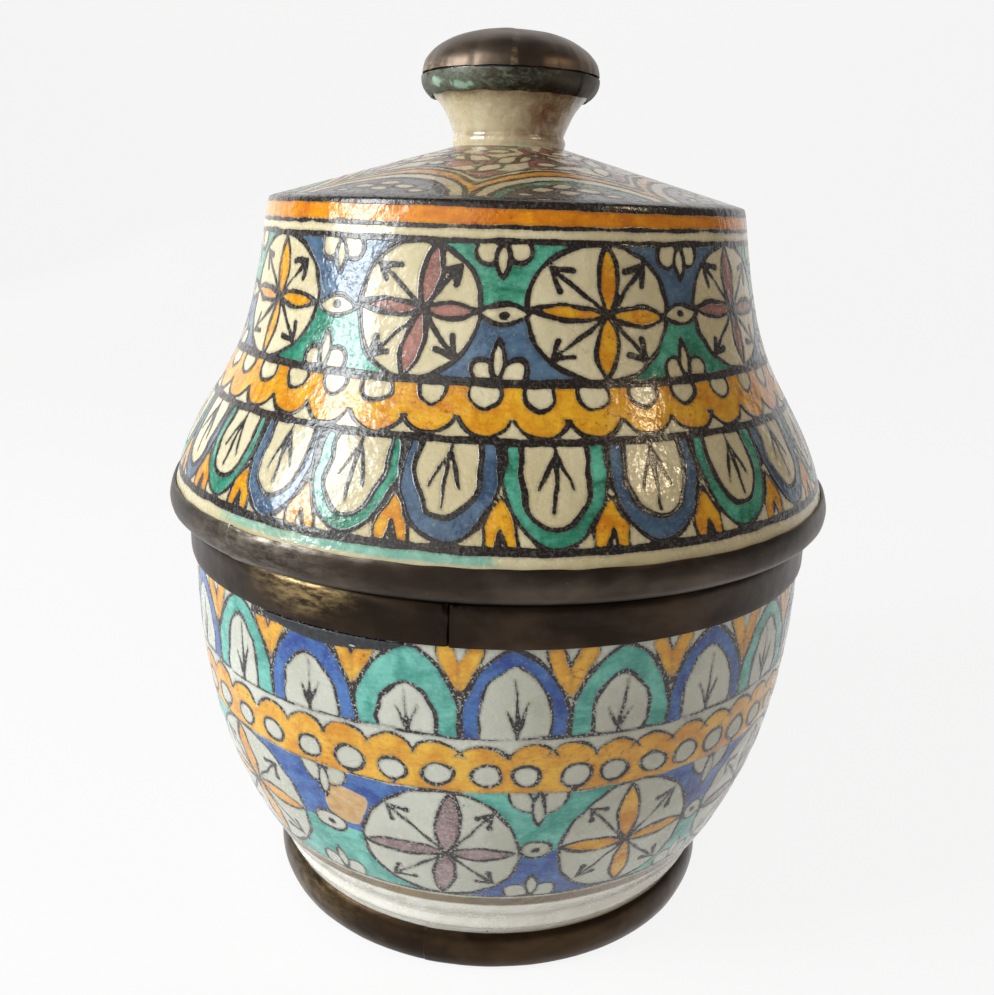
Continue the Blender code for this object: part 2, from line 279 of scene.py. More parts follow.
def between(first, second):
    """Faces between two rings. One may be a point or have several columns for each of the other's."""
    if len(second) < len(first):
        return [face[::-1] for face in between(second, first)]
    if len(first) == 1:
        return [(first[0], second[i - 1], second[i]) for i in range(len(second))]
    many = len(second) // len(first)
    first, second = first + first[:1], second + second[:1]
    faces = []
    for i in range(len(first) - 1):
        faces.append((first[i], *second[i * many : (i + 1) * many + 1], first[i + 1]))
    return faces


def even_azimuths(columns):
    return np.arange(columns) * TURN / columns


def azimuths_with_seam(columns, seam, radius, half=6.0, steps=60):
    """Even azimuths, with finer ones for some millimetres on both sides of a seam."""
    centre = math.radians(seam)
    reach = half / radius
    fine = centre + np.linspace(-reach, reach, steps + 1)
    coarse = even_azimuths(columns)
    away = np.abs(wrapped(coarse - centre)) > reach + TURN / columns / 2
    return np.sort(np.concatenate([coarse[away], fine % TURN]))


def wrapped(angle):
    """The angle within half a turn each way."""
    return (angle + math.pi) % TURN - math.pi


def ripple(seed, azimuth, path, radius, wavelength, count=22):
    """Smooth noise of about -1 to 1 that closes on itself round the axis. Lengths are in millimetres."""
    random = np.random.default_rng(seed)
    total = np.zeros_like(azimuth)
    for _ in range(count):
        heading = random.uniform(0, TURN)
        waves = random.uniform(0.55, 1.45) / wavelength
        around = round(TURN * radius * waves * math.cos(heading))
        along = TURN * waves * math.sin(heading)
        total += np.sin(around * azimuth + along * path + random.uniform(0, TURN))
    return np.tanh(total / math.sqrt(count))


def hump(value, centre, width):
    """1 at the centre, falling smoothly to both sides."""
    return np.exp(-(((value - centre) / width) ** 2))


# Signed distances of shapes, in millimetres, negative inside


def oval(x, y, half_width, half_height):
    fit = np.hypot(x / half_width, y / half_height)
    steep = np.hypot(x / half_width**2, y / half_height**2)
    return fit * (fit - 1) / np.maximum(steep, 1e-6)


def lens(x, y, half_width, half_height):
    """A pointed oval, its points above and below."""
    radius = (half_height**2 + half_width**2) / (2 * half_width)
    shift = radius - half_width
    return np.maximum(np.hypot(x + shift, y), np.hypot(x - shift, y)) - radius


def inked(distance, width):
    """A line along a shape's edge. Its middle is eased, so that a coarse mesh still holds a thin line."""
    half = width / 2
    apart = np.abs(distance)
    return np.where(apart < half, (apart**2 - half**2) / (2 * half), apart - half)


def from_segment(x, y, start, end):
    """The distance from a straight segment, and how far along it the nearest point is."""
    dx, dy = end[0] - start[0], end[1] - start[1]
    share = np.clip(((x - start[0]) * dx + (y - start[1]) * dy) / (dx * dx + dy * dy), 0, 1)
    return np.hypot(x - start[0] - share * dx, y - start[1] - share * dy), share


def stroke(x, y, points, widths):
    """A brush stroke along the points, its width given at each of them."""
    distance = np.full_like(x, FAR)
    for start, end, w0, w1 in zip(points, points[1:], widths, widths[1:]):
        apart, share = from_segment(x, y, start, end)
        distance = np.minimum(distance, inked(apart, w0 + (w1 - w0) * share))
    return distance


def polygon(x, y, corners):
    distance = np.full_like(x, math.inf)
    inside = np.zeros(x.shape, bool)
    for start, end in zip(corners, corners[1:] + corners[:1]):
        distance = np.minimum(distance, from_segment(x, y, start, end)[0])
        crosses = (start[1] > y) != (end[1] > y)
        level = np.where(crosses, (y - start[1]) / (end[1] - start[1] or 1.0), 0.0)
        inside ^= crosses & (x < start[0] + (end[0] - start[0]) * level)
    return np.where(inside, -distance, distance)


def bowed(points, per_span=4):
    """Corners along a smooth curve through the points."""
    return [tuple(p) for p in smooth_through(np.array(points, float), per_span)]


def flipped(points):
    """The points' mirror images, in reverse order."""
    return [(-x, y) for x, y in reversed(points)]


def rotated(x, y, angle):
    cos, sin = math.cos(angle), math.sin(angle)
    return x * cos - y * sin, x * sin + y * cos


# Painting


class Canvas:
    """The painted zone of a turned mesh: signed distances from each point to the edges of each pigment."""

    def __init__(self, turned, start, seed, pigments):
        self.azimuth = turned.azimuth
        self.radius = turned.radius
        self.path = turned.path - start
        self.random = np.random.default_rng(seed)
        surface = (turned.azimuth, turned.path, float(turned.radius.mean()))
        drift = [ripple(seed + n, *surface, 34.0) for n in (1, 2)]
        quiver = [ripple(seed + n, *surface, 8.0) for n in (3, 4)]
        self.shift = [wide * 0.45 + fine * 0.24 for wide, fine in zip(drift, quiver)]
        self.level = self.path + 0.5 * self.shift[1]
        self.pressure = ripple(seed + 5, *surface, 11.0)
        self.layers = {name: np.full(self.path.shape, FAR) for name in (*pigments, "ink")}
        self.whole = Patch(self, slice(None))

    def around(self, azimuth, path, half_width, half_height):
        """The patch near a place, and its points' offsets from it: x to the right and y down."""
        across = wrapped(self.azimuth - math.radians(azimuth)) * self.radius
        near = np.flatnonzero((np.abs(across) < half_width) & (np.abs(self.path - path) < half_height))
        x = across[near] + self.shift[0][near]
        return Patch(self, near), x, self.path[near] - path + self.shift[1][near]

    def stripe(self, pigment, low, high):
        self.whole.fill(pigment, np.abs(self.level - (low + high) / 2) - (high - low) / 2)

    def ring(self, level, width):
        self.whole.line(self.level - level, width)

    def some(self, spread):
        return self.random.uniform(-spread, spread)


class Patch:
    """Some of a canvas's points, to paint on."""

    def __init__(self, canvas, near):
        self.near = near
        self.pressure = canvas.pressure[near]
        self.layers = canvas.layers

    def fill(self, pigment, distance):
        """Paints over what is there. Cream has no layer of its own: it leaves the bare glaze."""
        for name, layer in self.layers.items():
            if name == pigment:
                layer[self.near] = np.minimum(layer[self.near], distance)
            elif name != "ink":
                layer[self.near] = np.maximum(layer[self.near], -distance)

    def line(self, distance, width=0.0):
        """Draws in ink along a shape's edge, or fills the shape where no width is given."""
        if width:
            distance = inked(distance, width)
        ink = self.layers["ink"]
        ink[self.near] = np.minimum(ink[self.near], distance - 0.13 * self.pressure)

    def wipe(self, distance):
        """Takes the ink off again inside a shape."""
        ink = self.layers["ink"]
        ink[self.near] = np.maximum(ink[self.near], -distance)

    def draw(self, pigment, shape, width, beyond=-math.inf):
        """Fills a shape and inks its edge. Both are cut off where beyond is positive."""
        self.fill(pigment, np.maximum(shape, beyond))
        self.line(np.maximum(inked(shape, width), beyond))


def spaced(count, phase, swing=0.0, centre=0.0):
    """Azimuths in degrees, spaced by hand: the gaps swell and shrink twice in a turn."""
    places = []
    for number in range(count):
        angle = wrapped(math.radians(phase + number * 360 / count))
        places.append(math.degrees(angle) + swing * math.sin(2 * (angle - math.radians(centre))))
    return places


def gaps_of(places):
    """The middle and width in degrees of the gap that follows each place."""
    gaps = []
    for azimuth, following in zip(places, places[1:] + places[:1]):
        width = math.degrees(wrapped(math.radians(following - azimuth)))
        gaps.append((azimuth + width / 2, width))
    return gaps


def in_turn(number, first="blue", second="green"):
    """The colour at this number, of two that take turns."""
    return first if number % 2 == 0 else second


# Motifs, each painted at an azimuth in degrees and a path in millimetres


def paint_medallion(canvas, azimuth, path, size, hub, petals, ink, lean, blobs):
    """A cream disc of this half width and half height, with four petals between four arrows round its hub."""
    half_width, half_height = size
    patch, x, y = canvas.around(azimuth, path, half_width + 4, half_height + 4)
    rim = oval(x, y, half_width, half_height)
    x = x - hub[0]
    y = y - hub[1]
    patch.draw("cream", rim, ink * 1.1)
    mean = (half_width + half_height) / 2
    ways = ((x, y, half_width, 0.112, 0.0, hub[0]), (y, x, half_height, 0.150, lean, hub[1]))
    for along, across, reach, plump, tilt, off in ways:
        for side in (-1, 1):
            long = (reach - side * off) * (0.485 + canvas.some(0.012))
            leant = across + (tilt + canvas.some(0.05)) * along
            shape = lens(leant, along - side * long, mean * plump * (1 + canvas.some(0.14)), long)
            patch.draw(petals, shape, ink)
    for side_x in (-1, 1):
        for side_y in (-1, 1):
            tip = np.array([side_x * half_width, side_y * half_height]) * (0.665 + canvas.some(0.02)) - hub
            tip += [canvas.some(0.7), canvas.some(0.7)]
            inward = -tip / np.linalg.norm(tip)
            beside = np.array([-inward[1], inward[0]])
            patch.line(stroke(x, y, [-inward * 0.6, tip], [ink, ink * 0.9]))
            for side in (-1, 1):
                length = 5.6 + canvas.some(0.8)
                barb = tip + inward * length * 0.84 + beside * side * length * (0.50 + canvas.some(0.10))
                patch.line(stroke(x, y, [tip + inward * 0.2, barb], [ink, ink * 1.3]))
                if blobs:
                    patch.line(np.hypot(x - barb[0], y - barb[1]) - 0.95)
    patch.line(np.hypot(x, y) - ink * 0.95)


def paint_eye(canvas, azimuth, path, half_width, half_height, ink, pointed):
    patch, x, y = canvas.around(azimuth, path, half_width + 3, half_height + 3)
    shape = lens(y, x, half_height, half_width) if pointed else oval(x, y, half_width, half_height)
    patch.wipe(shape)
    patch.draw("cream", shape, ink)
    patch.line(oval(x - canvas.some(0.8), y - canvas.some(0.3), 1.3, 0.95))


def paint_trefoil(canvas, azimuth, path, height, spread, side_height, up, ink, pointed=False):
    """Three cream leaves that grow from a line, downwards or, if up, upwards."""
    patch, x, y = canvas.around(azimuth, path, spread + 4, height + 3)
    y = -y if up else y
    tilt = -0.62 if pointed else 0.55 if up else 0.06
    for side in (-1, 1):
        across, along = rotated(x - side * spread * 0.54, y - side_height * 0.36, side * tilt)
        half_width = spread * (0.45 + canvas.some(0.03))
        half_height = side_height * (0.62 + canvas.some(0.05))
        if pointed:
            leaf = lens(across, along, half_width * 0.84, half_height * 1.32)
        else:
            leaf = oval(across, along, half_width, half_height)
        patch.wipe(np.maximum(leaf, ink - y))
        patch.draw("cream", leaf, ink, -y)
    middle = lens(x + canvas.some(0.4) + canvas.some(0.06) * y, y - height * 0.5, 1.75, height * 0.5)
    patch.wipe(middle)
    patch.draw("cream", middle, ink)


def paint_medallion_row(canvas, places, sizes, grounds, band, path, hubs, leans, ink, blobs):
    """Medallions, and behind them, in each gap's half width, two colours, one above the other."""
    half = (band[1] - band[0]) / 4
    for number, (gap, reach) in enumerate(grounds):
        patch, x, y = canvas.around(gap, (band[0] + band[1]) / 2, reach + 2, half * 2 + 2)
        for pigment, side in ((in_turn(number, "green", "blue"), -1), (in_turn(number), 1)):
            patch.fill(pigment, np.maximum(np.abs(x) - reach, np.abs(y - side * half) - half))
    for number, (azimuth, size, lean) in enumerate(zip(places, sizes, leans)):
        petals = in_turn(number, "mauve", "ochre")
        paint_medallion(canvas, azimuth, path, size, hubs[number % len(hubs)], petals, ink, lean, blobs)


def paint_scallop(canvas, azimuth, path, radius, valley, up, ink):
    """One lobe of an ochre band. Its outline ends a little beyond the valley between two lobes."""
    patch, x, y = canvas.around(azimuth, path, radius + 3, radius + 3)
    lobe = np.hypot(x, y) - radius
    patch.fill("ochre", lobe)
    inner = y - valley if up else valley - y
    patch.line(np.maximum(inked(lobe, ink), inner))


def paint_dot(canvas, azimuth, path, half_width, half_height, ink, shield, drip=False):
    """A cream dot. A shield hangs from a line and comes to a blunt point."""
    patch, x, y = canvas.around(azimuth, path, half_width + 3, half_height + 3)
    half_width *= 1 + canvas.some(0.09)
    half_height *= 1 + canvas.some(0.09)
    if shield:
        corners = []
        for across, down in SHIELD:
            corner_x = across * half_width + canvas.some(0.28)
            corners.append((corner_x, down * half_height + canvas.some(0.28)))
        dot = polygon(x, y, bowed(corners, 3))
    else:
        dot = oval(x, y + canvas.some(0.1) * x, half_width, half_height)
    patch.wipe(dot)
    patch.draw("cream", dot, ink)
    if drip:
        patch.line(oval(x - canvas.some(0.8), y - half_height - 0.2, 1.1, 0.9))


def rough_side(canvas, half, shares, levels, jitter):
    """Points down one side of a shape, at these shares of its half width, each a little off its place."""
    points = []
    for share, level in zip(shares, levels):
        points.append((-half * share + canvas.some(jitter), level + canvas.some(jitter * 0.5)))
    return points


def paint_tongue(canvas, azimuth, top, tip, half, pigment):
    """A U-shaped tongue that hangs from a line, with a cream heart and a sprig."""
    depth = tip - top
    patch, x, y = canvas.around(azimuth, top + depth / 2, half + 4, depth / 2 + 3)
    y = y + depth / 2
    outer_half = half * (1.0 + canvas.some(0.02))
    outer = [(-outer_half, -3), (-outer_half * 0.98, depth * 0.32), (-outer_half * 0.82, depth * 0.64)]
    outer += [(-outer_half * 0.47, depth * 0.90)]
    tongue = polygon(x, y, bowed(outer + [(0.0, depth)] + flipped(outer)))
    bottom = depth * (0.79 + canvas.some(0.04))
    shares = (0.94, 1.0, 1.02, 0.96, 0.78, 0.44)
    levels = (-3, bottom * 0.20, bottom * 0.38, bottom * 0.60, bottom * 0.80, bottom * 0.95)
    left = rough_side(canvas, half * (0.63 + canvas.some(0.04)), shares, levels, 0.75)
    right = rough_side(canvas, half * (0.63 + canvas.some(0.04)), shares, levels, 0.75)
    heart = polygon(x, y, bowed(left + [(canvas.some(0.7), bottom)] + flipped(right), 2))
    patch.draw(pigment, tongue, 1.25, -y)
    patch.draw("cream", heart, 1.5, -y)
    root = canvas.some(0.5)
    lean = canvas.some(0.7)
    stem = [(root, 0.5), (root + lean * 0.3, depth * 0.30), (root + lean, depth * (0.66 + canvas.some(0.04)))]
    patch.line(stroke(x, y, stem, [1.0, 1.4, 0.9]))
    for side in (-1, 1):
        out = side * (3.9 + canvas.some(0.6))
        low = depth * (0.47 + canvas.some(0.05))
        twig = [(root, depth * 0.10), (root + out * 0.55, (depth * 0.12 + low) / 2), (root + out, low)]
        patch.line(stroke(x, y, twig, [0.9, 1.25, 0.8]))


def paint_chevron(canvas, azimuth, top, bottom):
    """An ochre arrowhead that fills the gap between two tongues."""
    height = bottom - top
    patch, x, y = canvas.around(azimuth, top + height / 2, 8, height / 2 + 3)
    y = y + height / 2
    shares = (0.56, 0.92, 1.0, 1.0)
    levels = [height * level for level in (0.34, 0.56, 0.72, 1.04)]
    left = rough_side(canvas, 4.5, shares, levels, 0.5)
    right = rough_side(canvas, 4.5, shares, levels, 0.5)
    shape = polygon(x, y, left[::-1] + [(canvas.some(0.4), 0.0)] + flipped(right[::-1]))
    patch.draw("ochre", shape, 0.95)
    notch = polygon(x, y, [(-1.9, height * 1.06), (canvas.some(0.3), height * 0.62), (1.9, height * 1.06)])
    patch.draw("cream", notch, 1.0)
    patch.line(stroke(x, y, [(0.1, height * 0.66), (canvas.some(0.3), height * 0.92)], [1.0, 0.6]))


def paint_arch(canvas, azimuth, peak, base, half, pigment, lift, leaf_half, jagged):
    """A pointed arch that stands on a line, with a cream leaf and a sprig."""
    height = base - peak
    patch, x, y = canvas.around(azimuth, peak + height / 2, half + 4, height / 2 + 3)
    y = y + height / 2
    outer = [(-half, height), (-half * 0.96, height * 0.62), (-half * 0.70, height * 0.29)]
    outer += [(-half * 0.34, height * 0.07)]
    arch = polygon(x, y, bowed(outer + [(0.0, -0.5)] + flipped(outer)))
    rise = height * (1 - lift)
    shares = (0.94, 1.0, 0.93, 0.78, 0.56, 0.28)
    levels = [height - rise * level for level in (-0.02, 0.22, 0.46, 0.66, 0.82, 0.94)]
    jitter, leaf_ink, per_span = (0.75, 1.25, 1) if jagged else (0.35, 0.85, 3)
    left = rough_side(canvas, leaf_half, shares, levels, jitter)
    right = rough_side(canvas, leaf_half, shares, levels, jitter)
    leaf = polygon(x, y, bowed(left + [(canvas.some(0.5), height - rise)] + flipped(right), per_span))
    patch.draw(pigment, arch, 1.2, y - height)
    patch.draw("cream", leaf, leaf_ink, y - height)
    root = canvas.some(0.6)
    tip = root + canvas.some(1.2)
    high = rise * (0.86 + canvas.some(0.05))
    stem = [(root, height - 0.4), ((root + tip) / 2, height - high * 0.5), (tip, height - high)]
    patch.line(stroke(x, y, stem, [1.5, 0.9, 0.4]))
    for side in (-1, 1):
        out = root + side * (3.4 + canvas.some(0.8))
        end = high * (0.56 + canvas.some(0.12))
        bend = ((root * 1.3 + out) / 2.3, height - end * 0.55)
        twig = [(root, height - high * 0.10), bend, (out, height - end)]
        patch.line(stroke(x, y, twig, [1.2, 1.0, 0.5]))


def paint_wedge(canvas, azimuth, top, depth, half):
    """The ochre V between two arches: two broad strokes with round ends that meet at its tip."""
    patch, x, y = canvas.around(azimuth, top + depth / 2, half + 6, depth / 2 + 4)
    y = y + depth / 2
    wedge = np.full_like(x, FAR)
    for side in (-1, 1):
        limb = [(side * (half + canvas.some(0.4)), 1.2 + canvas.some(0.5))]
        limb += [(side * half * 0.44, depth * 0.46), (canvas.some(0.2), depth)]
        wedge = np.minimum(wedge, stroke(x, y, limb, [5.0 + canvas.some(0.4), 4.8, 0.9]))
    patch.draw("ochre", wedge, 0.55)


# The lid's pattern. Paths count from the shoulder down the flank

LID_PIGMENTS = ("ochre", "blue", "green", "orange", "mauve", "rose", "slate", "wash")
LID_ORANGE = (-0.2, 5.3)
LID_LINES = ((-1.4, 2.1), (5.8, 1.2), (9.25, 1.6), (45.0, 2.4), (60.3, 2.2), (87.7, 2.3))
LID_MEDALLION_BAND = (9.6, 44.4)
LID_MEDALLION_PATH = 27.0
LID_MEDALLION_HEIGHT = 17.7
LID_MEDALLION_WIDTHS = (16.6, 19.9, 19.7, 18.8, 19.6, 18.9, 19.9, 19.0, 18.6, 19.8)
LID_MEDALLIONS = dict(count=10, phase=-17.1)
LID_NUDGES = (0.9, -0.8, -0.8, 0.4, -0.3, 0.5, 0.0, -0.4, 0.6, 0.0)
LID_HUBS = ((1.8, 0.0), (2.0, 0.4), (0.2, 0.4), (-0.6, -0.3), (0.8, 0.4))
LID_LEANS = (0.19, 0.03, -0.08, 0.06, 0.10, -0.05, 0.08, 0.0, -0.10, 0.04)
LID_SCALLOPS = dict(count=39, phase=-2.6)
LID_TONGUES = dict(count=26, phase=-4.2, swing=4.0, centre=20.0)
LID_TONGUE_TOP = 60.6
LID_OCHRE = (45.2, 54.0)
LID_WASH = (88.6, 91.2)
LID_WASH_TOP = 88
LID_GROUND_REACH = 26.0
LID_MEDALLION_RADIUS = 84.0
LID_TONGUE_RADIUS = 98.0
SHIELD = ((-0.84, -0.98), (-1.0, -0.30), (-0.86, 0.36), (-0.42, 0.84), (0.02, 1.0),
          (0.46, 0.80), (0.88, 0.32), (1.0, -0.34), (0.82, -0.98))


def paint_lid_flank(canvas):
    canvas.stripe("orange", *LID_ORANGE)
    places = [azimuth + nudge for azimuth, nudge in zip(spaced(**LID_MEDALLIONS), LID_NUDGES)]
    top, bottom = LID_MEDALLION_BAND
    widths = LID_MEDALLION_WIDTHS
    gaps = []
    for (middle, _), before, after in zip(gaps_of(places), widths, widths[1:] + widths[:1]):
        gaps.append(middle + math.degrees((before - after) / 2 / LID_MEDALLION_RADIUS))
    sizes = [(width, LID_MEDALLION_HEIGHT) for width in widths]
    grounds = [(gap, LID_GROUND_REACH) for gap in gaps]
    paint_medallion_row(canvas, places, sizes, grounds, LID_MEDALLION_BAND, LID_MEDALLION_PATH, LID_HUBS,
                        LID_LEANS, 1.35, False)
    for gap in gaps:
        paint_trefoil(canvas, gap + canvas.some(0.5), top - 0.2, 9.2, 7.2, 6.0, False, 1.45)
        paint_trefoil(canvas, gap + canvas.some(0.5), bottom + 0.4, 10.6, 7.0, 6.2, True, 1.4)
        paint_eye(canvas, gap, LID_MEDALLION_PATH + 0.6, 6.4, 2.5, 1.3, True)
    canvas.stripe("ochre", *LID_OCHRE)
    for azimuth in spaced(**LID_SCALLOPS):
        paint_scallop(canvas, azimuth + canvas.some(0.5), 51.5, 7.7 + canvas.some(0.25), 2.6, False, 1.25)
    for azimuth in spaced(**LID_SCALLOPS):
        paint_dot(canvas, azimuth + canvas.some(0.4), 48.3, 3.9, 3.2, 1.2, True)
    places = spaced(**LID_TONGUES)
    gaps = gaps_of(places)
    for number, (azimuth, (_, width)) in enumerate(zip(places, gaps)):
        half = math.radians(width) * LID_TONGUE_RADIUS / 2
        paint_tongue(canvas, azimuth, LID_TONGUE_TOP, 86.6 + canvas.some(0.5), half, in_turn(number))
    for middle, _ in gaps:
        patch, x, y = canvas.around(middle, LID_TONGUE_TOP, 4, 18)
        patch.line(stroke(x, y, [(0.0, 0.0), (0.0, 6.0), (0.0, 11.0)], [2.0, 1.8, 1.4]))
        paint_chevron(canvas, middle, 74.4 + canvas.some(0.7), 87.4)
    canvas.stripe("wash", *LID_WASH)
    bare = 2.0 * ripple(231, canvas.azimuth, 0 * canvas.path, 100, 90) - 0.3
    canvas.whole.fill("cream", np.where(canvas.path > LID_WASH_TOP, bare, FAR))
    for level, width in LID_LINES:
        canvas.ring(level, width)
    edge = 1.0 + 0.7 * np.clip(np.sin(canvas.azimuth + 0.1), -0.4, 1)
    canvas.whole.line(np.maximum(canvas.path - 0.2 - edge, -0.6 - canvas.path))


# The cone's pattern. Places on it are offsets from the axis, seen from above

CONE_ARCHES = 8
CONE_ARCH_PHASE = 14.7
ARCH_CENTRE = 76.1
ARCH_RADIUS = 29.5
CONE_FOOT = 72.2
CONE_EDGE = 73.6
BORDER_SIZE = (28.4, 23.0)
FIELD_SIZE = (23.6, 18.4)
FREE_LEAVES = ((0.4, 43.5, 5.6, 0.5), (-6.0, 33.0, 6.6, -1.0), (6.0, 34.0, 6.8, 0.9), (0.4, 25.4, 4.6, 1.5))
ARCH_PETALS = ((-1.4, 61.4, 3.7, 2.1), (-7.6, 64.2, 3.6, 2.0), (5.2, 63.6, 3.8, 2.1), (-1.0, 66.8, 3.4, 1.9),
               (-13.0, 68.0, 2.9, 1.4), (11.4, 67.4, 3.2, 1.6))
CONE_PATCHES = (("slate", 61, 17.0, 1.4), ("green", 63, 13.0, 3.6), ("rose", 62, 12.0, 0.9))
ARCH_BLUNTNESS = 2.2
FIELD_CENTRE = 74.5
CURL = [(-7.0, 31.5), (-2.0, 27.0), (3.5, 29.0), (7.0, 35.5), (12.0, 37.5)]
SIDE_CURL = [(2.0, 22.0), (-4.0, 33.0), (-10.0, 38.5)]


def paint_cone(canvas):
    """Eight arches that stand on the shoulder, with free leaves between them and the knob."""
    near = np.flatnonzero((canvas.path < 1.0) & (canvas.radius < 77))
    patch = Patch(canvas, near)
    azimuth, radius = canvas.azimuth[near], canvas.radius[near]
    x = radius * np.sin(azimuth) + canvas.shift[0][near]
    y = radius * np.cos(azimuth) + canvas.shift[1][near]
    step = 360 / CONE_ARCHES
    centres = [math.radians(CONE_ARCH_PHASE + step * n) for n in range(CONE_ARCHES)]
    tops = [(ARCH_CENTRE * math.sin(a), ARCH_CENTRE * math.cos(a)) for a in centres]
    apart = np.array([np.hypot(x - top_x, y - top_y) for top_x, top_y in tops])
    merged = -ARCH_BLUNTNESS * np.log(np.exp(-apart / ARCH_BLUNTNESS).sum(axis=0)) - ARCH_RADIUS
    outside = 3.2 - merged
    for pigment, seed, size, shortage in CONE_PATCHES:
        patch.fill(pigment, np.maximum(outside, ripple(seed, azimuth, radius, 32.0, size) * 6 + shortage))
    for number in range(CONE_ARCHES):
        valley = math.radians(CONE_ARCH_PHASE + step * number + step / 2)
        across, out = rotated(x, y, valley)
        for place_x, place_y, size, lean in FREE_LEAVES:
            leaf_x, leaf_y = rotated(across - place_x, out - place_y, -(lean + canvas.some(0.3)))
            patch.draw("cream", np.maximum(lens(leaf_x, leaf_y, size * 0.50, size), outside), 1.25)
        across, out = rotated(x, y, valley + math.radians(step / 2))
        across = in_turn(number, 1, -1) * across
        patch.line(stroke(across, out, CURL, [0.6, 1.8, 2.0, 1.4, 0.5]))
        patch.line(stroke(across, out, SIDE_CURL, [0.6, 1.7, 0.6]))
        patch.draw("cream", np.maximum(oval(across + 1.0, out - 39.3, 3.2, 2.0), 2.0 - merged), 0.9)
    patch.draw("cream", merged - 2.4, 1.3)
    patch.draw("ochre", merged, 1.4)
    turned = [rotated(x, y, centre) for centre in centres]
    border, field = (np.min([oval(across, out - FIELD_CENTRE, *size) for across, out in turned], axis=0)
                     for size in (BORDER_SIZE, FIELD_SIZE))
    foot = radius - CONE_FOOT
    patch.fill("cream", border)
    patch.line(np.maximum(inked(border, 1.5), foot))
    for number in range(CONE_ARCHES):
        own = np.where(apart.argmin(axis=0) == number, -FAR, FAR)
        inner = np.maximum(np.maximum(field, foot), own)
        patch.fill("slate", inner)
        if number % 2 == 0:
            patch.fill("green", np.maximum(inner, -2.6 - field))
    patch.line(np.maximum(inked(field, 1.6), foot))
    for across, out in turned:
        for place_x, place_y, half_width, half_height in ARCH_PETALS:
            leaf_x = across - place_x
            leaf_y = out - place_y + canvas.some(0.4) + canvas.some(0.25) * leaf_x
            patch.draw("cream", np.maximum(lens(leaf_y, leaf_x, half_height, half_width), field + 0.9), 1.0)
    patch.fill("cream", np.maximum(CONE_FOOT - radius, radius - CONE_EDGE))
    patch.line(foot, 1.3)


# The body's pattern. Paths count from the collar down

JAR_PIGMENTS = ("ochre", "blue", "green", "mauve", "umber", "white_glaze_and_light", "bare")
BODY_MEDALLION_BAND = (44.2, 88.2)
BODY_MEDALLION_PATH = 66.2
BODY_MEDALLION_SIZE = (22.1, 22.1)
BODY_MEDALLIONS = dict(count=10, phase=-12.8, swing=4.9, centre=-45.0)
BODY_NUDGES = (0.2, -1.7, -1.0, 0.0, 0.8, -0.6, 0.5, -0.8, 0.6, 0.0)
BODY_HUBS = ((1.4, 1.5), (-0.4, 0.0), (0.6, 0.8), (-0.8, 0.3), (0.5, -0.6))
BODY_LEANS = (0.05, -0.12, 0.04, 0.08, -0.06, 0.10, 0.0, -0.04, 0.07, -0.10)
BODY_SCALLOPS = dict(count=50, phase=-3.55, swing=2.5, centre=-50.0)
BODY_ARCHES = dict(count=22, phase=3.4)
BODY_LINES = ((26.7, 0.22), (43.9, 0.30), (88.6, 0.8))
BODY_STRIPE = (89.9, 94.6)
LEAF_LIFTS = (0.14, 0.27, 0.18, 0.20, 0.32, 0.42, 0.16, 0.26)
CHIP_PLACE = (-24.4, 56.6)
BEDDING_SHADE = (-29.0, 0.0)
CHIP = [(-4.0, -7.6), (1.2, -6.2), (6.0, -5.4), (6.2, -1.0), (4.4, 2.4), (3.6, 6.2), (-1.8, 6.8), (-6.8, 4.0)]
CHIP += [(-7.8, -1.0), (-6.2, -4.4)]
BODY_OCHRE = (33.4, 43.9)
BODY_GROUND_RADIUS = 50
BODY_ARCH_RADIUS = 101.4
BODY_ARCH_BASE = 26.6
WHITE_GLAZE_AND_LIGHT_END = 140.0


